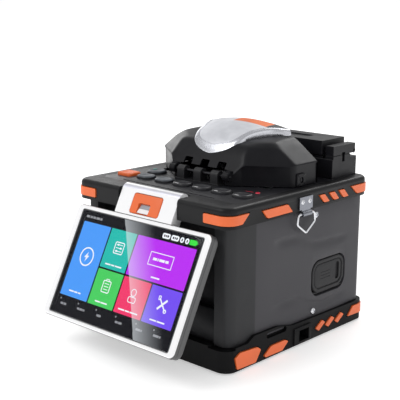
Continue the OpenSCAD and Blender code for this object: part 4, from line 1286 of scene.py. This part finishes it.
def build_strap_ring(node):
    """Closed wire, straight along its joint's axis and pointed below, with rounded corners."""
    x, y, z = joint_mm(node + "_swing")
    wire, sides = 0.86, 12
    drop = z - box_mm(node)[0][2] - 0.95
    corners = [(0, 0), (-9.2, 0), (-10.2, -7), (0, -drop), (10.2, -7), (9.2, 0), (0, 0)]
    flat = fillet_path(corners, [2.6, 2.4, 1.6, 2.4, 2.6], 0.7)[:-1]
    path = [Vector((x, y + p[0], z + p[1])) for p in flat]
    loops = []
    for before, p, after in zip(path[-1:] + path, path, path[1:] + path[:1]):
        side = (after - before).normalized().cross(Vector((1, 0, 0))).normalized()
        loops.append([p + side * a + Vector((b, 0, 0)) for a, b in circle(sides, wire)])
    bm = bmesh.new()
    skin(bm, loops, closed=True)
    to_object(node + "_wire", bm, "bright_steel", BODY_OF[node], node, 50)


def build_screws():
    """Domed cross-head screws on both sides: two on each strap plate, two in each shell."""
    lo, hi = box_mm("shell_screws")
    y = (lo[1] + hi[1]) / 2
    strap_z = box_mm("strap_plates")[1][2] - 3.5
    heads = []
    for side in (-1, 1):
        heads += [(side, HALF_W + 1.1, BY + dy, strap_z, 1.9, 0.75) for dy in (-4, 4)]
        heads += [(side, hi[0] - 1.7, y, z, 2.6, 1.6) for z in (lo[2] + 2.6, hi[2] - 2.6)]
    dome = ((0.0, 0.96), (0.12, 1), (0.35, 0.97), (0.65, 0.8), (0.88, 0.5), (1, 0.15))
    quarter = [Vector((0.62, 0.13)), Vector((0.13, 0.13)), Vector((0.13, 0.62))]
    bm, cuts = bmesh.new(), bmesh.new()
    for side, x, y, z, r, h in heads:
        turned(bm, [(side * (x + h * up), r * wide) for up, wide in dome], 24, y, z)
        cross = []
        for k in range(4):
            turn = Matrix.Rotation(math.radians(25) + k * math.pi / 2, 2)
            cross += [Vector((y, z)) + turn @ (p * r) for p in quarter]
        a, b = sorted((side * (x + h * 0.45), side * (x + h + 1)))
        prism_bm(cuts, cross, "x", a, b)
    bm = take_away(bm, cuts)
    to_object("cross_screws", bm, "bright_steel", "chassis", "shell_screws", 40)


def build_arm():
    """The white arm: round over the hinge with a silver band, flat down to the screen."""
    ((u0, u1), (_, s1), (_, r)) = face_extent("hinge_arm")
    back = -3.6
    profile = [(s1, back), (s1, r)]
    turns = [math.radians(200) * k / 32 for k in range(33)]
    profile += [(-r * math.sin(a), r * math.cos(a)) for a in turns]
    profile.append((3.0, back))
    bm = bmesh.new()
    skin(bm, [[face_pt(u, s, n) for s, n in profile] for u in spread(u0, u1, 4)])
    ((b0, b1), (t0, t1), _) = face_extent("release_button")
    room = 0.7
    pocket = rounded_rect(b1 - b0 + room, t1 - t0 + room, 2.1, 8, 0, (t0 + t1) / 2)
    bm = carved(bm, flat_prism, pocket, r - 3.6, r + 1)
    bore = [(HINGE[0] + u0 - 1, 1.56), (HINGE[0] + u1 + 1, 1.56)]
    bm = carved(bm, turned, bore, 24, HINGE[1], HINGE[2])
    for f in bm.faces:
        c = f.calc_center_median() - HINGE
        s, n = c.dot(DOWN), c.dot(NORMAL)
        round_face = abs(f.normal.x) < 0.5 and math.hypot(s, n) > r - 0.4
        f.material_index = 1 if round_face and -2.9 < s < -0.3 and n > 0 else 0
    mats = ["white_gloss", "arm_silver"]
    ob = to_object("screen_arm", bm, mats, "screen", "hinge_arm", 30, ("arm_trim",))
    bevel_mod(ob, 0.5, 3, 50)


build_arm()
# paints shade into the colour of the shell's front part
paint_front_shade(MATS["shell_grey"])
build_side_shell("side_shell_right")
build_side_shell("side_shell_left")
build_port_cover()
build_base()
build_ring()
build_inserts()
build_keys()
build_strap_ring("strap_ring_right")
build_strap_ring("strap_ring_left")
dressed("strap_plates", 0.35, 3, "plate_steel")
build_screws()
# The CAD pieces that only need their own edge width and segments, then all that are left.
SOFT_EDGES = {"deck_plate": (0.35, 3), "heater_base": (0.7, 3), "heater_lid": (1.2, 4),
              "heater_clamp_left": (1.0, 4), "heater_clamp_right": (1.0, 4), "rubber_feet": (0.5, 3),
              "rear_panel": (0.5, 3)}
for name, (width, segments) in SOFT_EDGES.items():
    dressed(name, width, segments)
for name in nodes:
    if not nodes[name].hide_render:
        dressed(name)
